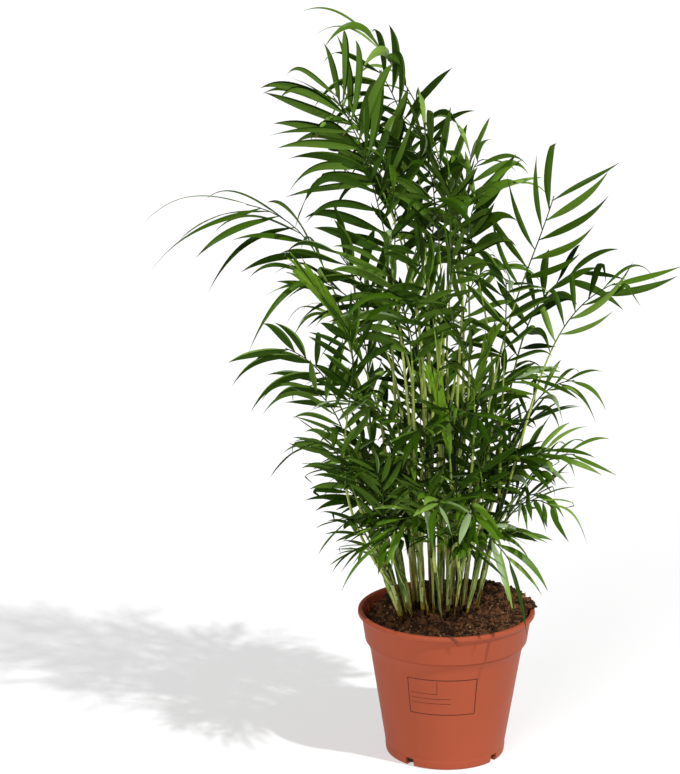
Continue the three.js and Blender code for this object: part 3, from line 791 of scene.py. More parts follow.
def cane_at(cane, t):
    foot_x, foot_y, top_x, top_y, top_z, _ = cane
    spread = 0.75 * t + 0.25 * t * t
    level = mix(SOIL_LEVEL + CLEARANCE, top_z, t)
    return np.array([mix(foot_x, top_x, spread), mix(foot_y, top_y, spread), level])


def cane_radius(cane, t):
    return cane[5] * mix(CANE_FOOT, CANE_TOP, t)


def cane_direction(cane, t):
    return unit(cane_at(cane, t + 0.02) - cane_at(cane, t - 0.02))


# %% [markdown]
# A frond is described by the cane that carries it and how far up it leaves (`at`), the place of
# the rib's tip and its slope there (`pitch`), the length of rib with leaflets on it (`blade`),
# the longest leaflet (`leaf`), the number of leaflet pairs, and how the blade is turned about
# its rib (`roll`).  More is said only where a frond differs: `lift` and `sag` raise the leaflets
# or bow them down, `limp` and `left_limp` let their points hang, `slim` makes them narrower or
# broader, `turn` twists them, `bent` is the share that is folded over and `tone` is their green.

# %% The fronds that give the crown its outline
FROND_KEYS = ("cane", "at", "tip", "pitch", "blade", "leaf", "pairs", "roll")


def frond_of(*values, **habits):
    """A frond from the values in the order of their keys, and what it has of its own."""
    return dict(zip(FROND_KEYS, values), **habits)


LEADING_FRONDS = [
    frond_of(9, 1, (-74, 30, 688), 50, 124, 110, 6, 18, sag=0.68, turn=45, limp=1.2, slim=0.68),
    frond_of(4, 1, (-106, -62, 650), 60, 118, 100, 6, 74, limp=0.9, slim=0.78, bent=0, tone=2),
    frond_of(3, 1, (-86, -40, 600), 70, 122, 94, 6, 82, sag=0.1, limp=1.2, slim=0.85, bent=0),
    frond_of(1, 1, (-188, -14, 540), 12, 112, 112, 6, -14, lift=-22, sag=0.14, limp=0.45,
             slim=0.68, bent=0, tone=3),
    frond_of(1, 0.8, (-152, -46, 412), 24, 100, 64, 7, 60, limp=0.6, slim=1.1),
    frond_of(0, 1, (-126, -62, 326), 4, 90, 50, 6, 45, limp=0.4, slim=1.25),
    frond_of(0, 0.7, (-98, -74, 252), -20, 78, 44, 6, 15, limp=0.3, slim=1.3),
    frond_of(10, 1, (95, -4, 546), 74, 98, 80, 5, 84, sag=-0.1, limp=-0.3, slim=0.78, tone=3),
    frond_of(12, 1, (154, 4, 462), 22, 84, 76, 5, 34, sag=-0.12, limp=-0.4, left_limp=3.4,
             slim=0.8, bent=0.3, tone=3),
    frond_of(11, 1, (128, 66, 460), 16, 112, 66, 7, 30),
    frond_of(11, 0.8, (122, 44, 358), 4, 76, 46, 6, 25),
    frond_of(12, 0.8, (118, -24, 304), -4, 84, 50, 6, 20),
    frond_of(12, 0.6, (94, -82, 270), -14, 78, 46, 6, 10),
    frond_of(7, 0.7, (56, -76, 214), -58, 66, 50, 5, 0, slim=1.5, limp=1.3, tone=4),
    frond_of(7, 0.85, (-66, -92, 236), -34, 76, 48, 6, 0, limp=0.3, slim=1.15),
    frond_of(10, 0.85, (44, 18, 552), 6, 104, 70, 6, 20),
    frond_of(9, 0.85, (34, 78, 566), -4, 110, 72, 6, 10),
    frond_of(2, 1, (-132, 8, 468), 20, 108, 70, 6, -30),
]
FOLDED_FRONDS = [
    dict(cane=1, at=0.9, tip=(-146, -52, 500), pitch=52, blade=138, fold=6.5, roll=60),
    dict(cane=7, at=1, tip=(-18, -44, 400), pitch=84, blade=100, fold=5, roll=80),
    dict(cane=8, at=0.9, tip=(42, -14, 430), pitch=74, blade=96, fold=4.5, roll=70),
]

# %% [markdown]
# The rest of the crown is dealt out in tiers: rings of fronds at four heights, the lowest with
# the most.  `reach` is how far the tips stand from the middle of the clump, and `lean` moves a
# whole tier to one side.  The leaflets of the low tiers are shorter and broader.

# %% The tiers
CLUMP = np.array([-4.0, 14.0, 0.0])
CLUMP_DEPTH = 1.4
TIERS = [
    dict(count=9, first=20, reach=84, height=272, pitch=-20, at=0.62, blade=84, leaf=54, lean=-4, limp=0.3),
    dict(count=8, first=75, reach=84, height=352, pitch=-2, at=0.8, blade=98, leaf=58, lean=-8, limp=0.4),
    dict(count=5, first=40, reach=78, height=452, pitch=8, at=0.92, blade=112, leaf=70, lean=-20, limp=0.7),
    dict(count=2, first=-64, reach=60, height=560, pitch=0, at=0.97, blade=118, leaf=82, lean=-44, limp=1),
]
TIER_PAIRS = 6
FRONDS_A_CANE = 4
TOPS_REACH = 0.4  # how far out the canes' tops stand, next to the tips over them
SPREAD = dict(way=14, height=56, at=0.1, pitch=16, roll=50, turn=60)  # how much fronds of a tier differ
LOW_TIER, HIGH_TIER = 280, 460
load = [0] * len(CANES)


def nearest_cane(tip, most):
    """The cane most nearly under a tip, unless it has its share of fronds."""
    top_x, top_y = tip[0] * TOPS_REACH, (tip[1] - CLUMP[1]) * TOPS_REACH + CLUMP[1]
    away = [math.hypot(top_x - cane[2], top_y - cane[3]) for cane in CANES]
    free = [number for number in range(len(load)) if load[number] < most]
    best = min(free, key=lambda number: away[number])
    load[best] += 1
    return best


def stray(what, seed, i):
    """How far one frond of a tier is from the tier's own value."""
    return SPREAD[what] * (chance(seed, i) - 0.5)


def tier_fronds(tier, row, most):
    fronds = []
    high = smooth(tier["height"], LOW_TIER, HIGH_TIER)
    for i in range(tier["count"]):
        way = tier["first"] + 360 / tier["count"] * i + stray("way", row, i)
        tip = heading(way) * tier["reach"] * mix(0.85, 1.15, chance(row + 10, i))
        tip = tip * [1, CLUMP_DEPTH, 1] + CLUMP
        tip[0] += tier["lean"]
        tip[2] = tier["height"] + stray("height", row + 20, i)
        fronds.append(dict(
            cane=nearest_cane(tip, most),
            at=tier["at"] + stray("at", row + 30, i),
            tip=tuple(tip),
            pitch=tier["pitch"] + stray("pitch", row + 40, i),
            blade=tier["blade"],
            leaf=tier["leaf"] * mix(0.84, 1, high),
            pairs=TIER_PAIRS,
            roll=stray("roll", row + 50, i),
            limp=tier["limp"],
            turn=stray("turn", row + 60, i),
            slim=mix(1.36, 0.9, high),
        ))
    return fronds


fronds = LEADING_FRONDS + FOLDED_FRONDS
for frond in fronds:
    load[frond["cane"]] += 1
for row, tier in enumerate(TIERS):
    fronds = fronds + tier_fronds(tier, row, FRONDS_A_CANE)
solid_fronds = len(fronds)
print("fronds:", solid_fronds, "on canes:", load)

# %% [markdown]
# ### Seedlings, shoots and small fronds
#
# Between the large canes stand thinner seedlings, and the canes carry small fronds low down.
# They are too fine to be worth a solid each, but they make the clump as thick as it is.  A
# shoot is a thin cane with a single frond at its top.

# %% More seedlings and tiers
solid_canes = len(CANES)
CANES += [
    (-38, -8, -58, -22, 226, 0.62),
    (-26, 14, -46, 20, 262, 0.66),
    (-17, -14, -30, -40, 214, 0.7),
    (-7, 4, -8, -2, 276, 0.74),
    (7, -14, 18, -38, 222, 0.66),
    (10, 16, 24, 22, 268, 0.7),
    (22, 18, 44, 24, 246, 0.62),
    (19, -8, 38, -26, 232, 0.74),
    (-20, 28, -34, 56, 238, 0.64),
    (4, 36, 6, 62, 244, 0.6),
]
first_shoot = len(CANES)
SHOOTS = [  # the cane, and the tip, pitch, blade, leaf and roll of its frond
    ((-32, -12, -50, -34, 200, 0.6), (-70, -60, 300), 44, 72, 46, 30),
    ((-12, -8, -16, -34, 206, 0.66), (-24, -62, 330), 60, 76, 46, 40),
    ((1, 12, 2, 20, 240, 0.62), (-6, 30, 390), 66, 80, 50, -40),
    ((13, -2, 26, -12, 236, 0.7), (44, -36, 350), 52, 78, 50, -30),
    ((-25, 24, -38, 44, 232, 0.6), (-64, 64, 330), 44, 76, 48, 20),
    ((-5, -18, -12, -48, 196, 0.58), (-26, -80, 290), 40, 72, 46, 20),
    ((-36, 0, -56, -12, 214, 0.6), (-84, -24, 320), 50, 74, 48, 50),
]
CANES += [shoot[0] for shoot in SHOOTS]
SMALL_PAIRS = 7
SMALL_TIERS = [
    dict(count=11, first=8, reach=72, height=232, pitch=-4, at=0.5, blade=70, leaf=48, lean=-6, limp=0.2),
    dict(count=11, first=26, reach=68, height=276, pitch=12, at=0.7, blade=76, leaf=52, lean=-8, limp=0.2),
    dict(count=7, first=0, reach=60, height=322, pitch=24, at=0.82, blade=82, leaf=54, lean=-8, limp=0.3),
    dict(count=4, first=18, reach=54, height=378, pitch=34, at=0.92, blade=88, leaf=58, lean=-10, limp=0.5),
    dict(count=3, first=48, reach=48, height=440, pitch=40, at=0.97, blade=94, leaf=62, lean=-16, limp=0.8),
]
SMALL_LEADERS = [
    frond_of(6, 1, (-34, 26, 606), 44, 112, 76, 8, 35),
    frond_of(6, 0.9, (-34, -8, 588), 30, 110, 74, 8, 20),
    frond_of(8, 1, (-6, -22, 560), 36, 104, 72, 8, -25),
    frond_of(2, 0.95, (-104, -34, 500), 50, 110, 76, 8, 50),
    frond_of(3, 0.9, (-64, -44, 492), 46, 108, 74, 8, 60),
    frond_of(0, 0.8, (-104, -56, 300), 10, 84, 50, 8, 35, limp=0.3),
    frond_of(0, 0.5, (-84, -70, 226), -14, 74, 40, 7, 20, limp=0.2),
    frond_of(7, 0.5, (-34, -58, 505), 62, 92, 60, 7, 70, limp=0.5),
    frond_of(8, 0.55, (0, -50, 516), 66, 92, 60, 7, -70, limp=0.5),
    frond_of(0, 0.55, (-96, -60, 436), 64, 90, 60, 7, 70, limp=0.4),
    frond_of(9, 0.7, (18, 60, 566), 50, 96, 62, 7, -40, limp=0.5),
    frond_of(5, 1, (-66, 10, 660), 52, 112, 84, 7, 55, slim=0.8),
    frond_of(6, 0.8, (-96, -18, 622), 40, 110, 80, 7, -20, slim=0.8),
    frond_of(6, 0.9, (-70, 34, 560), 30, 108, 76, 7, 30),
    frond_of(9, 0.8, (34, 104, 330), 24, 84, 56, 8, -20, limp=0.3),
    frond_of(1, 0.6, (-114, 8, 304), 16, 86, 60, 8, 40, limp=0.3),
    frond_of(1, 0.5, (-98, 34, 252), 14, 80, 54, 8, -30, limp=0.3),
    frond_of(4, 0.9, (-108, 22, 636), 54, 104, 90, 6, 72, limp=0.8),
    frond_of(5, 0.8, (-30, 104, 372), 30, 88, 56, 7, 20, limp=0.4),
    frond_of(0, 0.9, (-130, -40, 374), 36, 88, 56, 7, 50, limp=0.6),
    frond_of(12, 0.65, (86, -30, 268), 12, 80, 50, 7, 34, limp=0.5),
    frond_of(12, 0.8, (96, -14, 306), 20, 84, 56, 8, 35, limp=0.3),
    frond_of(11, 0.6, (88, 44, 322), 24, 84, 58, 8, -30, limp=0.3),
]
SMALL_LEADERS += [frond_of(first_shoot + number, 1, tip, pitch, blade, leaf, SMALL_PAIRS, roll, limp=0.3)
                  for number, (_, tip, pitch, blade, leaf, roll) in enumerate(SHOOTS)]
SMALL_FRONDS_A_CANE = 6
load += [1] * (first_shoot - solid_canes) + [SMALL_FRONDS_A_CANE] * (len(CANES) - first_shoot)
fronds = fronds + SMALL_LEADERS
for row, tier in enumerate(SMALL_TIERS):
    fronds = fronds + tier_fronds(tier, row + len(TIERS), SMALL_FRONDS_A_CANE)
print("with the small ones:", len(fronds))

# %% [markdown]
# ### A rib as a curve
#
# A rib leaves its cane steeply and bends over under its own weight, which a cubic Bezier curve
# draws well: two of its four points set the ends, and the other two set how it leaves and how
# it arrives.

# %% Curves measured by length
STALK_FOOT = 1.7
STALK_TIP = 0.7
KEEL = 1.6  # the solid ribs' depth, next to their radius
LEAVING_ANGLE = 14  # degrees between a stalk and its cane
CURVE_STEPS = 200
SHORT_STEP = 0.0001  # share of the curve over which its direction is read
LEAVING_PULL, ARRIVING_PULL = 0.5, 0.3  # how far the inner two points stand from the outer two


class Rib:
    """A cubic Bezier curve that can be read at shares of its length."""

    def __init__(self, controls):
        self.controls = np.array(controls)
        self.shares = np.linspace(0, 1, CURVE_STEPS + 1)
        steps = np.linalg.norm(np.diff(self.at(self.shares), axis=0), axis=1)
        self.lengths = np.concatenate([[0], np.cumsum(steps)])
        self.total = self.lengths[-1]

    def at(self, t):
        t = np.asarray(t)[:, None]
        a, b, c, d = self.controls
        return (1 - t) ** 3 * a + 3 * (1 - t) ** 2 * t * b + 3 * (1 - t) * t * t * c + t ** 3 * d

    def places(self, lengths):
        """Points and directions at these lengths along the rib."""
        t = np.interp(lengths, self.lengths, self.shares)
        ahead = self.at(np.minimum(t + SHORT_STEP, 1))
        return self.at(t), unit(ahead - self.at(np.maximum(t - SHORT_STEP, 0)))


def rib_curve(frond, turn, side):
    cane = CANES[frond["cane"]]
    axis = cane_direction(cane, frond["at"])
    middle = cane_at(cane, frond["at"])
    tip = turned(np.array(frond["tip"], float) - middle, UP, turn) + middle
    outward = unit((tip - middle) * [1, 1, 0])
    tilt = math.hypot(axis[0], axis[1])
    start = middle + axis * (CLEARANCE + KEEL * STALK_FOOT * tilt)
    leaving = axis
    if frond["at"] < 1:
        aside = math.radians(side)
        corner = STALK_FOOT * max(abs(math.sin(aside)), -KEEL * math.cos(aside))
        arm = turned(outward, UP, side)
        start = middle + arm * (cane_radius(cane, frond["at"]) + CLEARANCE + corner)
        leaving = turned(axis, unit(np.cross(axis, arm)), LEAVING_ANGLE)
    length = np.linalg.norm(tip - start)
    pitch = math.radians(frond["pitch"])
    arriving = outward * math.cos(pitch) + UP * math.sin(pitch)
    after_start = start + leaving * LEAVING_PULL * length
    before_tip = tip - arriving * ARRIVING_PULL * length
    return Rib([start, after_start, before_tip, tip])


# %% [markdown]
# ### Stations
#
# Along the rib stand stations: long steps on the bare stalk, and on the blade one for each
# leaflet.  A station knows its place, which way the rib runs there, and which way is left and
# up for the leaflets, so the blade's roll comes in gently where the leaflets begin.

# %% Cut a rib into stations
STALK_STEPS = 7
FOLDED_STEPS = 8
BLADE_SHARE = 0.75  # of the rib, at the most


def blade_lengths(frond, rib):
    blade = min(frond["blade"], BLADE_SHARE * rib.total)
    return rib.total - blade, blade


def frames_at(frond, rib, lengths):
    """Place, direction, left, up and radius of the rib at these lengths."""
    bare, _ = blade_lengths(frond, rib)
    points, along = rib.places(np.minimum(lengths, rib.total))
    ends = unit((rib.controls[3] - rib.controls[0]) * [1, 1, 0])
    across = np.cross(UP, ends)
    left = unit(across - along * (along @ across)[:, None])
    roll = np.radians(frond["roll"]) * smooth(lengths, 0.4 * bare, bare)[:, None]
    left = left * np.cos(roll) + np.cross(along, left) * np.sin(roll)
    upper = np.cross(along, left)
    radius = mix(STALK_FOOT, STALK_TIP, np.minimum(lengths / rib.total, 1))
    return points, along, left, upper, radius


def station_lengths(frond, rib, steps):
    bare, blade = blade_lengths(frond, rib)
    stalk = bare * np.arange(STALK_STEPS) / STALK_STEPS
    return np.concatenate([stalk, bare + blade * np.arange(steps + 1) / steps])


# %% [markdown]
# ### Finding a clear way out
#
# Two ribs that cross would look like scissors.  A frond is tried at small turns and from
# different sides of its cane, and takes the first way that keeps its distance from all ribs
# and canes placed before it.

# %% Keep the ribs apart
STALK_GAP = 0.6
TURNS = (0, 5, -5, 10, -10, 15, -15, 20, -20, 26, -26)
SIDES = (0, 60, -60, 115, -115, 30, -30, 90, -90)
OWN_REACH = 30  # mm from its foot within which a rib may be near its own cane
SAMPLE = 4  # mm
CANE_PLACES = (0, 0.25, 0.5, 0.75, 1)


def reach_of(frond, rib, lengths, radius):
    bare, blade = blade_lengths(frond, rib)
    half = radius
    if "fold" in frond:
        share = np.maximum(0, (lengths - bare) / blade)
        half = radius + frond["fold"] * np.sin(np.pi * share ** 0.8)
    return np.maximum(KEEL * radius, half)


def samples_of(points, reach):
    """Places every few millimetres along the stations' line, each with its reach."""
    places, reaches = [], []
    for i in range(1, len(points)):
        count = math.ceil(np.linalg.norm(points[i] - points[i - 1]) / SAMPLE)
        for k in range(count):
            places.append(mix(points[i - 1], points[i], k / count))
            reaches.append(mix(reach[i - 1], reach[i], k / count))
    return np.array(places), np.array(reaches)


def too_near(places, reaches, starts, ends, others):
    """For each place, whether it is too near to any of these stretches of line."""
    line = ends - starts
    toward = places[:, None] - starts[None]
    share = np.clip((toward * line).sum(2) / (line * line).sum(1), 0, 1)
    away = np.linalg.norm(toward - share[..., None] * line, axis=2)
    return away < reaches[:, None] + others[None] + STALK_GAP


stretches = [(cane_at(cane, low), cane_at(cane, high), cane_radius(cane, low), number)
             for number, cane in enumerate(CANES[:solid_canes])
             for low, high in zip(CANE_PLACES, CANE_PLACES[1:])]
*cane_lines, cane_numbers = [np.array(values) for values in zip(*stretches)]

# %% Place every rib
rib_lines = [np.empty((0, 3)), np.empty((0, 3)), np.empty(0)]  # starts, ends and reaches


def is_clear(frond, points, reach):
    places, reaches = samples_of(points, reach)
    if len(rib_lines[2]) and too_near(places, reaches, *rib_lines).any():
        return False
    leaving = np.linalg.norm(places - points[0], axis=1) < OWN_REACH
    near = too_near(places, reaches, *cane_lines)
    near &= ~(leaving[:, None] & (cane_numbers == frond["cane"])[None])
    return not near.any()


def clear_rib(frond):
    """A rib with its stations' places and reaches, or None where there is no room."""
    for turn in TURNS:
        for side in SIDES:
            rib = rib_curve(frond, turn, side)
            steps = FOLDED_STEPS if "fold" in frond else 2 * frond["pairs"]
            lengths = station_lengths(frond, rib, steps)
            points, _, _, _, radius = frames_at(frond, rib, lengths)
            reach = reach_of(frond, rib, lengths, radius)
            if is_clear(frond, points, reach):
                return rib, points, reach
    return None


ribs, placed = [], []
for number, frond in enumerate(fronds):
    found = clear_rib(frond)
    if found is None:
        print("no room for frond", number + 1)
        continue
    rib, points, reach = found
    ribs.append(rib)
    placed.append(frond)
    rib_lines = [np.concatenate(pair) for pair in zip(rib_lines, (points[:-1], points[1:], reach[1:]))]
fronds = placed
print("ribs:", len(ribs), "longest", round(max(rib.total for rib in ribs)), "mm")

# %% [markdown]
# ## Greens
#
# Leaflets differ: old ones are deep green, some are bluish with a bloom on the skin, young
# ones are yellowish, and the underside is always paler and duller.  The darkest greens are also
# painted shade, and the two palest are partly bloom and partly painted sheen.  The tones are plain
# colours handed out frond by frond, with a neighbour's tone for a leaflet now and then.

# %% Mix the greens
# painted light: the darkest greens stand in for the shade between leaves, and the two palest partly for sheen
LEAF_COLOURS = [(12, 27, 2), (25, 45, 3), (39, 65, 4), (55, 85, 8), (76, 109, 20), (112, 144, 54),
                (134, 156, 108)]
LEAF_SHINE = [0.03, 0.035, 0.05, 0.09, 0.13, 0.2, 0.2]  # the paler greens shine more; the two palest are partly painted sheen
UNDER_COLOURS = [(42, 66, 14), (74, 102, 32)]
LEAF_TONES = [leaf_finish(f"leaf_green_{number}", colour, 0.36, LEAF_SHINE[number])
              for number, colour in enumerate(LEAF_COLOURS)]
YOUNG = len(LEAF_TONES)
LEAF_TONES.append(leaf_finish("leaf_young", (98, 134, 28), 0.42, 0.12))
UNDER = len(LEAF_TONES)
LEAF_TONES += [leaf_finish(f"leaf_under_{number}", colour, 0.6, 0.03)
               for number, colour in enumerate(UNDER_COLOURS)]
OLIVE = len(LEAF_TONES)
LEAF_TONES.append(leaf_finish("leaf_tip_olive", (58, 60, 24), 0.6, 0.05))
DRY = len(LEAF_TONES)
LEAF_TONES.append(leaf_finish("leaf_tip_dry", (98, 84, 62), 0.7, 0.05))
print("leaf tones:", len(LEAF_TONES))

# %% [markdown]
# ## One leaflet
#
# A leaflet is a lance-shaped strip: pinched at its foot, widest before the middle and drawn
# out to a fine tip.  Its midrib stands up and the two halves slope away from it.  It is made
# as a thin closed body, eight points to a ring: five over the top and three under it.

# %% The leaflet's outline and its faces
OUTLINE_PLACES = [0, 0.05, 0.12, 0.24, 0.38, 0.5, 0.62, 0.74, 0.84, 0.92, 1]
OUTLINE_WIDTHS = [0.14, 0.22, 0.5, 0.86, 1.0, 0.99, 0.9, 0.7, 0.44, 0.2, 0.04]
LEAFLET_RINGS = 15
RING_ACROSS = np.array([-1, -0.5, 0, 0.5, 1, 0.5, 0, -0.5])
RING_UNDER = np.array([0, 0, 0, 0, 0, 1, 1.6, 1])  # depth of the underside, next to the skin
CORNERS = len(RING_ACROSS)
LEFT_RIM, RIGHT_RIM = 0, 4  # corners
SKIN = 0.22  # mm

shares = np.linspace(0, 1, LEAFLET_RINGS + 1)[:-1]
ring_widths = np.interp(shares, OUTLINE_PLACES, OUTLINE_WIDTHS)
tip_point = CORNERS * LEAFLET_RINGS
last_ring = tip_point - CORNERS
leaflet_faces = between_rings(LEAFLET_RINGS, CORNERS)
leaflet_faces += [[last_ring + side, last_ring + (side + 1) % CORNERS, tip_point] for side in range(CORNERS)]
leaflet_faces.append(list(range(CORNERS))[::-1])
corner_numbers = np.append(np.tile(np.arange(CORNERS), LEAFLET_RINGS), CORNERS)  # the tip comes last
is_under = corner_numbers >= RIGHT_RIM
leaflet_rim = np.isin(corner_numbers, (LEFT_RIM, RIGHT_RIM, CORNERS))
print("a leaflet has", sum(len(face) - 2 for face in leaflet_faces), "triangles")

# %% [markdown]
# ### Growing a frond's leaflets
#
# Size, angle and droop follow the solids' rule.  What is added is what makes leaves look
# alive: each has its own width, curves a little towards the frond's tip, twists, and lets its
# point hang, and one in twelve is bent sharply over, as soft leaflets are after a journey.
# Leaflets with even numbers stand to the left of the rib and the others to the right.

# %% How each leaflet lies
LEAFLET_WIDTH = 0.125  # of its length
FIRST_ANGLE, LAST_ANGLE = 66, 26  # degrees from the rib, at the blade's foot and tip
ANGLE_SPREAD = 24
FIRST_LIFT, LAST_LIFT = 16, 4  # degrees up from the blade
LIFT_SPREAD = 40
BENT_SHARE = 0.08


def leaflet_shapes(frond, number, pairs, rib):
    """Arrays that say how each of a frond's leaflets starts and how it bends."""
    bare, blade = blade_lengths(frond, rib)
    index = np.arange(2 * pairs)
    is_left = index % 2 == 0
    share = (index + 0.5) / (2 * pairs)
    roots, along, left, upper, _ = frames_at(frond, rib, bare + blade * share)
    size = 0.7 + 0.3 * np.sin(np.pi * mix(0.15, 0.8, share))
    length = frond["leaf"] * size * mix(0.93, 1.07, chance(number, index))
    angle = mix(FIRST_ANGLE, LAST_ANGLE, share) + ANGLE_SPREAD * (chance(number + 50, index) - 0.5)
    angle = np.radians(angle)[:, None]
    lift = frond.get("lift", mix(FIRST_LIFT, LAST_LIFT, share)[:, None])
    lift = np.radians(lift + LIFT_SPREAD * (chance(number + 60, index) - 0.5)[:, None])
    droop = mix(0.08, 0.2, chance(number + 90, index)) + frond.get("sag", 0) * mix(1.2, 0.5, share)
    spacing = frond["blade"] / pairs
    width = np.minimum(LEAFLET_WIDTH * length, 0.8 * spacing * np.sin(angle[:, 0]) + 2)
    width = width * mix(0.66, 1.08, chance(number + 120, index)) * frond.get("slim", 1)
    limp = frond.get("limp", 1) + frond.get("left_limp", 0) * is_left
    out = left * np.where(is_left, 1, -1)[:, None]
    way = unit(along * np.cos(angle) + np.sin(angle) * (out * np.cos(lift) + upper * np.sin(lift)))
    face = square_to(upper, way)
    return dict(root=roots, way=way, face=face, toward=square_to(along, way), wide=np.cross(way, face),
                length=length, width=width, droop=droop, index=index, limp=limp,
                bent=frond.get("bent", BENT_SHARE), turn=math.radians(frond.get("turn", 0)))


# %% [markdown]
# The middle line of each leaflet is followed ring by ring, and `q` runs from 0 at its foot to 1
# at its tip.  Droop and hang pull the line down, more and more towards the tip, and `sickle`
# curves it towards the frond's tip.  `bend` is the sharp fold of the bent ones, about the line
# across the leaflet.  All leaflets of a frond are followed at once, one row for each.

# %% Follow the leaflets to their tips
def drawn(low, high, seed, index, power=1):
    """A value of its own for each leaflet, one to a row."""
    return mix(low, high, chance(seed, index) ** power)[:, None]


def middle_lines(leaves, number):
    """The places of the rings' middles and the steps between them."""
    index = leaves["index"]
    sickle = drawn(-0.1, 0.34, number + 130, index)
    hang = leaves["limp"][:, None] * drawn(0.05, 0.8, number + 140, index, power=1.5)
    hang = hang * mix(1, 0.4, smooth(leaves["way"][:, 2:], 0.3, 0.85))  # less where a leaflet points up
    is_bent = (chance(number + 150, index) < leaves["bent"])[:, None]
    bend_place = drawn(0.62, 0.8, number + 160, index)
    bend_angle = np.where(is_bent, drawn(1.2, 2.3, number + 170, index), 0)
    places, steps = [leaves["root"]], []
    for q in (np.arange(LEAFLET_RINGS) + 0.5) / LEAFLET_RINGS:
        step = leaves["way"] - UP * (2 * leaves["droop"][:, None] * q + 4 * hang * q ** 3)
        step = step + leaves["toward"] * 2 * sickle * q
        speed = np.linalg.norm(step, axis=1, keepdims=True)
        normal = unit(np.cross(leaves["wide"], step))
        angle = bend_angle * smooth(q, bend_place - 0.05, bend_place + 0.05)
        steps.append(step * np.cos(angle) - normal * speed * np.sin(angle))
        places.append(places[-1] + steps[-1] * leaves["length"][:, None] / LEAFLET_RINGS)
    return places, steps


def leaflet_points(leaves, number):
    index = leaves["index"]
    places, steps = middle_lines(leaves, number)
    twist_foot = drawn(-0.6, 0.6, number + 180, index)
    twist_tip = 1.5 * drawn(-1, 1, number + 190, index) ** 3
    open_fold = drawn(0.16, 0.52, number + 210, index)
    points = np.empty((len(index), tip_point + 1, 3))
    for k, q in enumerate(shares):
        along = unit(steps[max(k - 1, 0)] + steps[k])
        flat = square_to(leaves["wide"], along)
        upright = np.cross(flat, along)
        twist = twist_foot * (1 - q) ** 2 + twist_tip * q * q + leaves["turn"] * smooth(q, 0, 0.3)
        wide = flat * np.cos(twist) + upright * np.sin(twist)
        normal = upright * np.cos(twist) - flat * np.sin(twist)
        across = 0.5 * leaves["width"][:, None] * ring_widths[k] * RING_ACROSS
        fold = mix(0.8, open_fold, smooth(q, 0, 0.35))
        rise = -fold * np.abs(across) - SKIN * RING_UNDER * (0.3 + 0.7 * ring_widths[k])
        ring = places[k][:, None] + across[..., None] * wide[:, None] + rise[..., None] * normal[:, None]
        points[:, CORNERS * k:CORNERS * (k + 1)] = ring
    points[:, tip_point] = places[-1]
    return points


# %% Add a frond's leaflets to a spray
TONE_STEPS = [0.07, 0.26, 0.68, 0.89]  # chances that part two tones darker from two tones lighter
DRY_TIP = 1.9  # rings, at the most
along_places = np.append(np.repeat(shares, CORNERS), 1)
across_places = np.append(np.tile(RING_ACROSS, LEAFLET_RINGS), 0)
face_is_under = np.array([is_under[face[:2]].all() or is_under[face[-1]] and is_under[face[1]]
                          for face in leaflet_faces])
face_ring = np.array([min(face) // CORNERS for face in leaflet_faces])


def add_leaflets(spray, number, leaves, tone):
    points = leaflet_points(leaves, number)
    under = UNDER + number % len(UNDER_COLOURS) if tone < YOUNG else tone
    for i, index in enumerate(leaves["index"]):
        change = np.searchsorted(TONE_STEPS, chance(number + 200, index)) - 2
        own = np.clip(tone + change, 0, YOUNG - 1) if tone < YOUNG else tone
        tones = np.where(face_is_under, under, own)
        dry = LEAFLET_RINGS - DRY_TIP * chance(number + 220, index) ** 2
        tones = np.where(face_ring > dry - 1, OLIVE, tones)
        tones = np.where(face_ring > dry, DRY, tones)
        half = 0.5 * leaves["width"][i]
        places = np.stack([across_places * half, along_places * leaves["length"][i]], axis=1)
        spray.add(points[i], leaflet_faces, tones, places, leaflet_rim)


# %% [markdown]
# ## The canes
#
# A young parlour palm has hardly a bare cane: what stands in the pot is a roll of leaf sheaths.
# It is pinched at the peat, swells as it takes in more sheaths and thins again as the fronds
# leave it.  Each sheath ends in a long slanting mouth, and the next comes out from inside.  The
# roll is a little flat and has lengthwise streaks: brown at the peat, yellowish above it and
# green higher up.

# %% Cane tones
CANE_COLOURS = [(36, 22, 10), (90, 64, 26), (136, 122, 32), (190, 200, 122), (126, 148, 66), (70, 94, 30),
                (32, 48, 12)]
CANE_LEVELS = [-6, 0, 6, 16, 68, 110, 168]  # heights in mm above the peat where each tone is at home
cane_finishes = finishes("cane", CANE_COLOURS, 0.55, mottle=0.2, scale=70, relief=0.3, relief_scale=260,
                         stretch=(1, 1, 0.08), specular=0.3)
CANE_SIDES = 18
MOUTH_SPACING = 58  # mm
SHEATH_RINGS = 9
CANE_FLATNESS = 0.17
SWELL_HEIGHTS = [0, 6, 42, 90]  # mm above the peat
SWELL = [0.44, 0.5, 0.8, 0.74, 0.56]  # the last one is for the cane's top


def wrapped_radius(cane, t):
    """Radius of the roll of sheaths: pinched at the peat, widest a hand's breadth above it."""
    height = cane[4] - SOIL_LEVEL
    return cane_radius(cane, t) * np.interp(t * height, SWELL_HEIGHTS + [max(height, 120)], SWELL)


def streaked(number, level, sides):
    """Tones with lengthwise streaks, for rings at these heights above the peat."""
    column = np.arange(sides)
    share = smooth(level, -4, 30)[:, None]
    streak = 34 * chance(number, column // 2 + 20) + 16 * chance(number + 30, column)
    home = level[:, None] * mix(0.6, 1.3, chance(number, 9)) - (streak[None] - 18) * share
    brown = 8 * chance(number, column // 3 + 60)
    tone = np.interp(home - brown[None] + 3, CANE_LEVELS, np.arange(len(CANE_LEVELS)))
    stripe = chance(number, column + 100) + chance(number, column // 2 + 130) - 1
    tone = tone + 2.4 * stripe[None] * share + 1.6 * (chance(number, 8) - 0.5) * share
    return np.round(np.clip(tone, 0, len(CANE_LEVELS) - 1)).astype(int).ravel()


# %% Roll a cane
MOUTH_TURN = 2.4  # radians from one sheath's mouth to the next


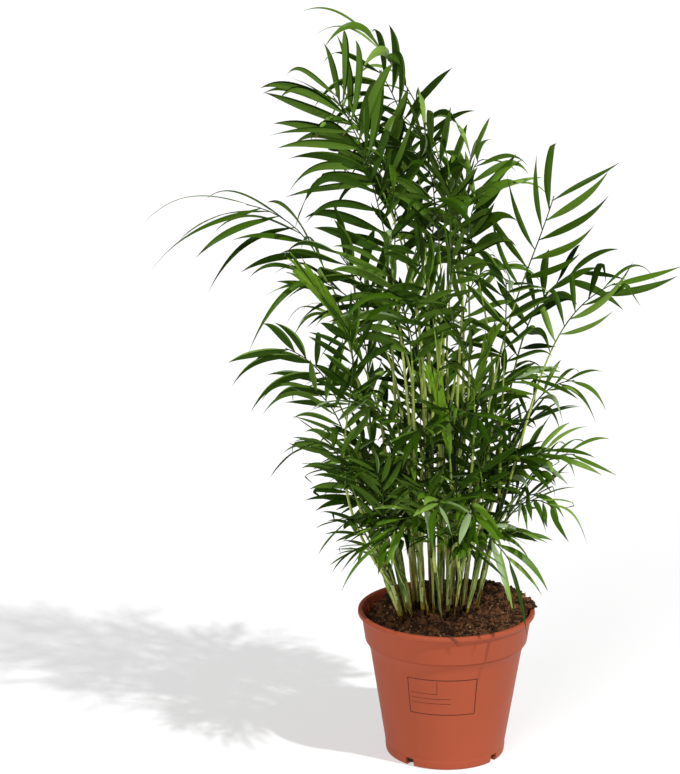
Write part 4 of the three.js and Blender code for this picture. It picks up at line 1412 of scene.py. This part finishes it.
def add_cane(spray, cane, number):
    height = cane[4] - SOIL_LEVEL
    sheaths = max(2, round(height / MOUTH_SPACING))
    angles = np.arange(CANE_SIDES) * 2 * np.pi / CANE_SIDES
    way = 2 * np.pi * chance(number, 7)
    flat = 1 + CANE_FLATNESS * np.cos(2 * (angles - way))
    ridges = 1 + 0.05 * np.sin(5 * angles + number)
    line, radii, rises = [], [], []
    rise_before = np.zeros(CANE_SIDES)
    for sheath in range(sheaths):
        is_last = sheath + 1 == sheaths
        slant = 0 if is_last else mix(7, 13, chance(number, sheath + 5))
        rise_after = slant * np.cos(angles - way - MOUTH_TURN * sheath)
        for share in np.linspace(0, 1, SHEATH_RINGS):
            t = (sheath + share) / sheaths
            step = 1 + 0.06 * smooth(share, 0.1, 0.9) - 0.05 * (share == 0 and sheath > 0)
            line.append(cane_at(cane, t if t > 0 else -3 / height))
            radii.append(wrapped_radius(cane, t) * step)
            rises.append(mix(rise_before, rise_after, smooth(share, 0, 1)))
        rise_before = rise_after
    rings = rod(np.array(line), radii, CANE_SIDES)
    middle = rings.mean(axis=1, keepdims=True)
    rings = middle + (rings - middle) * (flat * ridges)[None, :, None]
    rings[..., 2] += np.array(rises)
    tones = streaked(number, np.array(line)[:-1, 2] - SOIL_LEVEL, CANE_SIDES)
    spray.add(*sweep(rings), np.append(tones, [0, 5]))


canes = Shapes()
for number, cane in enumerate(CANES):
    add_cane(canes, cane, number)
cane_names = [f"cane-{number + 1:02d}" for number in range(solid_canes)]
canes.piece("sheathed_canes", cane_finishes, "cane", cane_names)

# %% [markdown]
# ## Stalks and ribs
#
# A palm stalk is round below and faintly grooved on top, pale where it leaves its sheath and
# dark where it carries leaflets.  It is a rod of eight sides swept along the rib, and its
# colour steps through five tones on the way up.

# %% Stalk tones
STALK_COLOURS = [(172, 188, 92), (144, 168, 66), (92, 120, 34), (52, 74, 18), (30, 42, 11)]
stalk_finishes = finishes("stalk", STALK_COLOURS, 0.5, mottle=0.15, scale=90, relief=0.12, relief_scale=500,
                          stretch=(1, 1, 0.15), specular=0.15)
DARKEST_STALK = len(STALK_COLOURS) - 1
STALK_SIDES = 8
STALK_PLACES = 30


def add_stalk(spray, frond, number, rib):
    lengths = rib.total * np.linspace(0, 1, STALK_PLACES)
    points, _, left, upper, radius = frames_at(frond, rib, lengths)
    ring = circle(STALK_SIDES)
    flat = np.where(ring[:, 1] > 0.8, 0.55, 1.0) * ring[:, 1]  # the groove on top
    bare, _ = blade_lengths(frond, rib)
    radius = radius * mix(0.9, 0.66, smooth(lengths, 0.5 * bare, bare))
    centre = points - upper * (0.45 * radius)[:, None]
    across = ring[None, :, :1] * left[:, None] + flat[None, :, None] * upper[:, None]
    rise = np.interp(lengths[:-1], [0, 0.6 * bare, bare, bare + 20, rib.total], [0.1, 0.8, 2.0, 3.3, 4.8])
    rise = np.repeat(rise, STALK_SIDES) + 0.8 * (chance(number, 61) - 0.5)
    steps = np.clip(rise, 0, DARKEST_STALK).astype(int)
    body, faces = sweep(centre[:, None] + radius[:, None, None] * across)
    spray.add(body, faces, np.append(steps, [0, DARKEST_STALK]))


# %% [markdown]
# ### Sheaths
#
# Each frond begins as a tube that wraps its cane for a few centimetres and then peels away as
# the stalk.  The tube's middle line starts on the cane and crosses over to the stalk, while its
# radius shrinks from the cane's to the stalk's, so cane and stalk grow into each other.

# %% A sheath for each frond
SHEATH_LENGTH = 46
SHEATH_FREE = 15  # how far it follows the stalk
SHEATH_PLACES = 20
SHEATH_SIDES = 14


def add_sheath(spray, frond, number, rib):
    cane = CANES[frond["cane"]]
    at = frond["at"]
    height = cane[4] - SOIL_LEVEL
    low = max(at - SHEATH_LENGTH * mix(0.8, 1.2, chance(number, 71)) / height, 0.02)
    wrapped = (at - low) * height
    start, leaving = rib.places(np.zeros(1))
    line, radii = [], []
    for s in np.linspace(0, 1, SHEATH_PLACES):
        t = mix(low, at + SHEATH_FREE / height, s)
        run = s * (wrapped + SHEATH_FREE) - wrapped
        on_stalk = rib.places(np.array([run]))[0][0] if run > 0 else start[0] + leaving[0] * run
        line.append(mix(cane_at(cane, t), on_stalk, smooth(s, 0.35, 0.78)))
        wrap = wrapped_radius(cane, min(t, 1)) * mix(0.93, 1.1, smooth(s, 0, 0.2))
        wrap = wrap + 0.25 * smooth(s, 0.1, 0.3)
        radii.append(mix(wrap, STALK_FOOT * 0.95, smooth(s, 0.4, 0.98)))
    tones = streaked(number + 40, np.array(line)[:-1, 2] - SOIL_LEVEL, SHEATH_SIDES) + len(stalk_finishes)
    spray.add(*sweep(rod(np.array(line), radii, SHEATH_SIDES)), np.append(tones, [tones[0], 1]))


# %% [markdown]
# ## Growing the fronds
#
# Now every frond gets its stalk, its sheath and its leaflets.  The fronds of the tiers carry
# more and narrower leaflets than their solids.  Fronds are joined in five groups, so that no
# mesh grows too large to handle.

# %% Group the fronds
FINE_TIER_PAIRS = 8
LEAF_HEIGHTS = [220, 400, 560, 680]  # mm
# painted light and shade: the greens are lighter low in the clump, where it lies in shade, and darker in the
# crown, where the light is full
PAINTED_LIGHT_HEIGHT_TONES = [3.2, 3.3, 3.0, 2.1]
LEAF_TONE_SPREAD = 3.6
LIGHTEST_FROND = 4  # the two palest greens, partly painted sheen, come only on single leaflets
first_tier = len(LEADING_FRONDS) + len(FOLDED_FRONDS)
upper_tiers = first_tier + TIERS[0]["count"] + TIERS[1]["count"]
small_middle = (solid_fronds + len(fronds)) // 2
groups = {
    "leading": range(len(LEADING_FRONDS)),
    "low": range(first_tier, upper_tiers),
    "high": range(upper_tiers, solid_fronds),
    "small": range(solid_fronds, small_middle),
    "inner": range(small_middle, len(fronds)),
}


def pairs_of(number):
    """How many pairs of leaflets a frond carries in its finest form."""
    if number < first_tier:
        return fronds[number]["pairs"]
    return FINE_TIER_PAIRS if number < solid_fronds else SMALL_PAIRS


def leaf_tone(frond, number):
    """Lighter greens low in the clump and darker ones in the crown: painted light for the shade low down, and
    painted shade for the full light on top.
    """
    if "tone" in frond:
        return frond["tone"]
    level = np.interp(frond["tip"][2], LEAF_HEIGHTS, PAINTED_LIGHT_HEIGHT_TONES)
    return int(np.clip(round(level + LEAF_TONE_SPREAD * (chance(number, 91) - 0.5)), 0, LIGHTEST_FROND))


def frond_names(numbers):
    return [f"frond-{number + 1:02d}" for number in numbers if number < solid_fronds]


for group, numbers in groups.items():
    leaves, stalks = Shapes(), Shapes()
    for number in numbers:
        frond, rib = fronds[number], ribs[number]
        shapes = leaflet_shapes(frond, number, pairs_of(number), rib)
        add_leaflets(leaves, number, shapes, leaf_tone(frond, number))
        add_stalk(stalks, frond, number, rib)
        add_sheath(stalks, frond, number, rib)
    leaves.piece(f"{group}_leaflets", LEAF_TONES, "leaf", frond_names(numbers))
    stalks.piece(f"{group}_stalks", stalk_finishes + cane_finishes, "cane", [])

# %% [markdown]
# ### Young fronds
#
# A young frond comes up as a spear: its leaflets are there already, laid close along the rib
# and lighter than the rest.

# %% Spears
SPEAR_PAIRS = 7
SPEAR_LEAF = 0.62  # the longest leaflet, next to the blade
SPEAR_BLADE = 0.72  # how much of the blade bears leaflets
SPEAR_WIDTH = 5.2
spears, spear_stalks = Shapes(), Shapes()
spear_numbers = range(len(LEADING_FRONDS), first_tier)
for number in spear_numbers:
    rib = ribs[number]
    frond = dict(fronds[number], leaf=SPEAR_LEAF * fronds[number]["blade"])
    spear = leaflet_shapes(frond, number, SPEAR_PAIRS, rib)
    bare, blade = blade_lengths(frond, rib)
    lengths = bare + blade * SPEAR_BLADE * (spear["index"] + 0.5) / (2 * SPEAR_PAIRS)
    roots, along, left, upper, _ = frames_at(frond, rib, lengths)
    side = np.where(spear["index"] % 2 == 0, 1, -1)[:, None]
    way = unit(along + left * side * 0.09 + upper * 0.02)
    face = square_to(upper, way)
    spear.update(root=roots, way=way, face=face, wide=np.cross(way, face),
                 droop=0.02 + 0.03 * chance(number, spear["index"]),
                 length=np.minimum(spear["length"], rib.total - lengths + 4),
                 width=np.full(len(lengths), SPEAR_WIDTH))
    add_leaflets(spears, number, spear, YOUNG)
    add_stalk(spear_stalks, frond, number, rib)
    add_sheath(spear_stalks, frond, number, rib)
spears.piece("young_spears", LEAF_TONES, "young_leaf", frond_names(spear_numbers))
spear_stalks.piece("spear_stalks", stalk_finishes + cane_finishes, "cane", [])

# %% [markdown]
# ## The floor
#
# The floor is a plain white sheet that runs out of the picture on all sides.  It belongs to
# the studio and not to the plant.

# %% Lay the floor
FLOOR_REACH = 20 / MM
floor_corners = [[FLOOR_REACH * x, FLOOR_REACH * y, 0] for x, y in ((-1, -1), (1, -1), (1, 1), (-1, 1))]
floor = add_object("floor", mesh_of("floor", floor_corners, [[0, 1, 2, 3]]))
white_floor = finish("white_floor", np.full(3, FLOOR_WHITE), 0.8, mottle=0.01, relief=0)
glow = white_floor.node_tree.nodes["Principled BSDF"].inputs
glow["Emission Color"].default_value = (1, 1, 1, 1)
glow["Emission Strength"].default_value = FLOOR_GLOW
floor.data.materials.append(white_floor)
print("floor:", round(2 * FLOOR_REACH * MM), "m across")
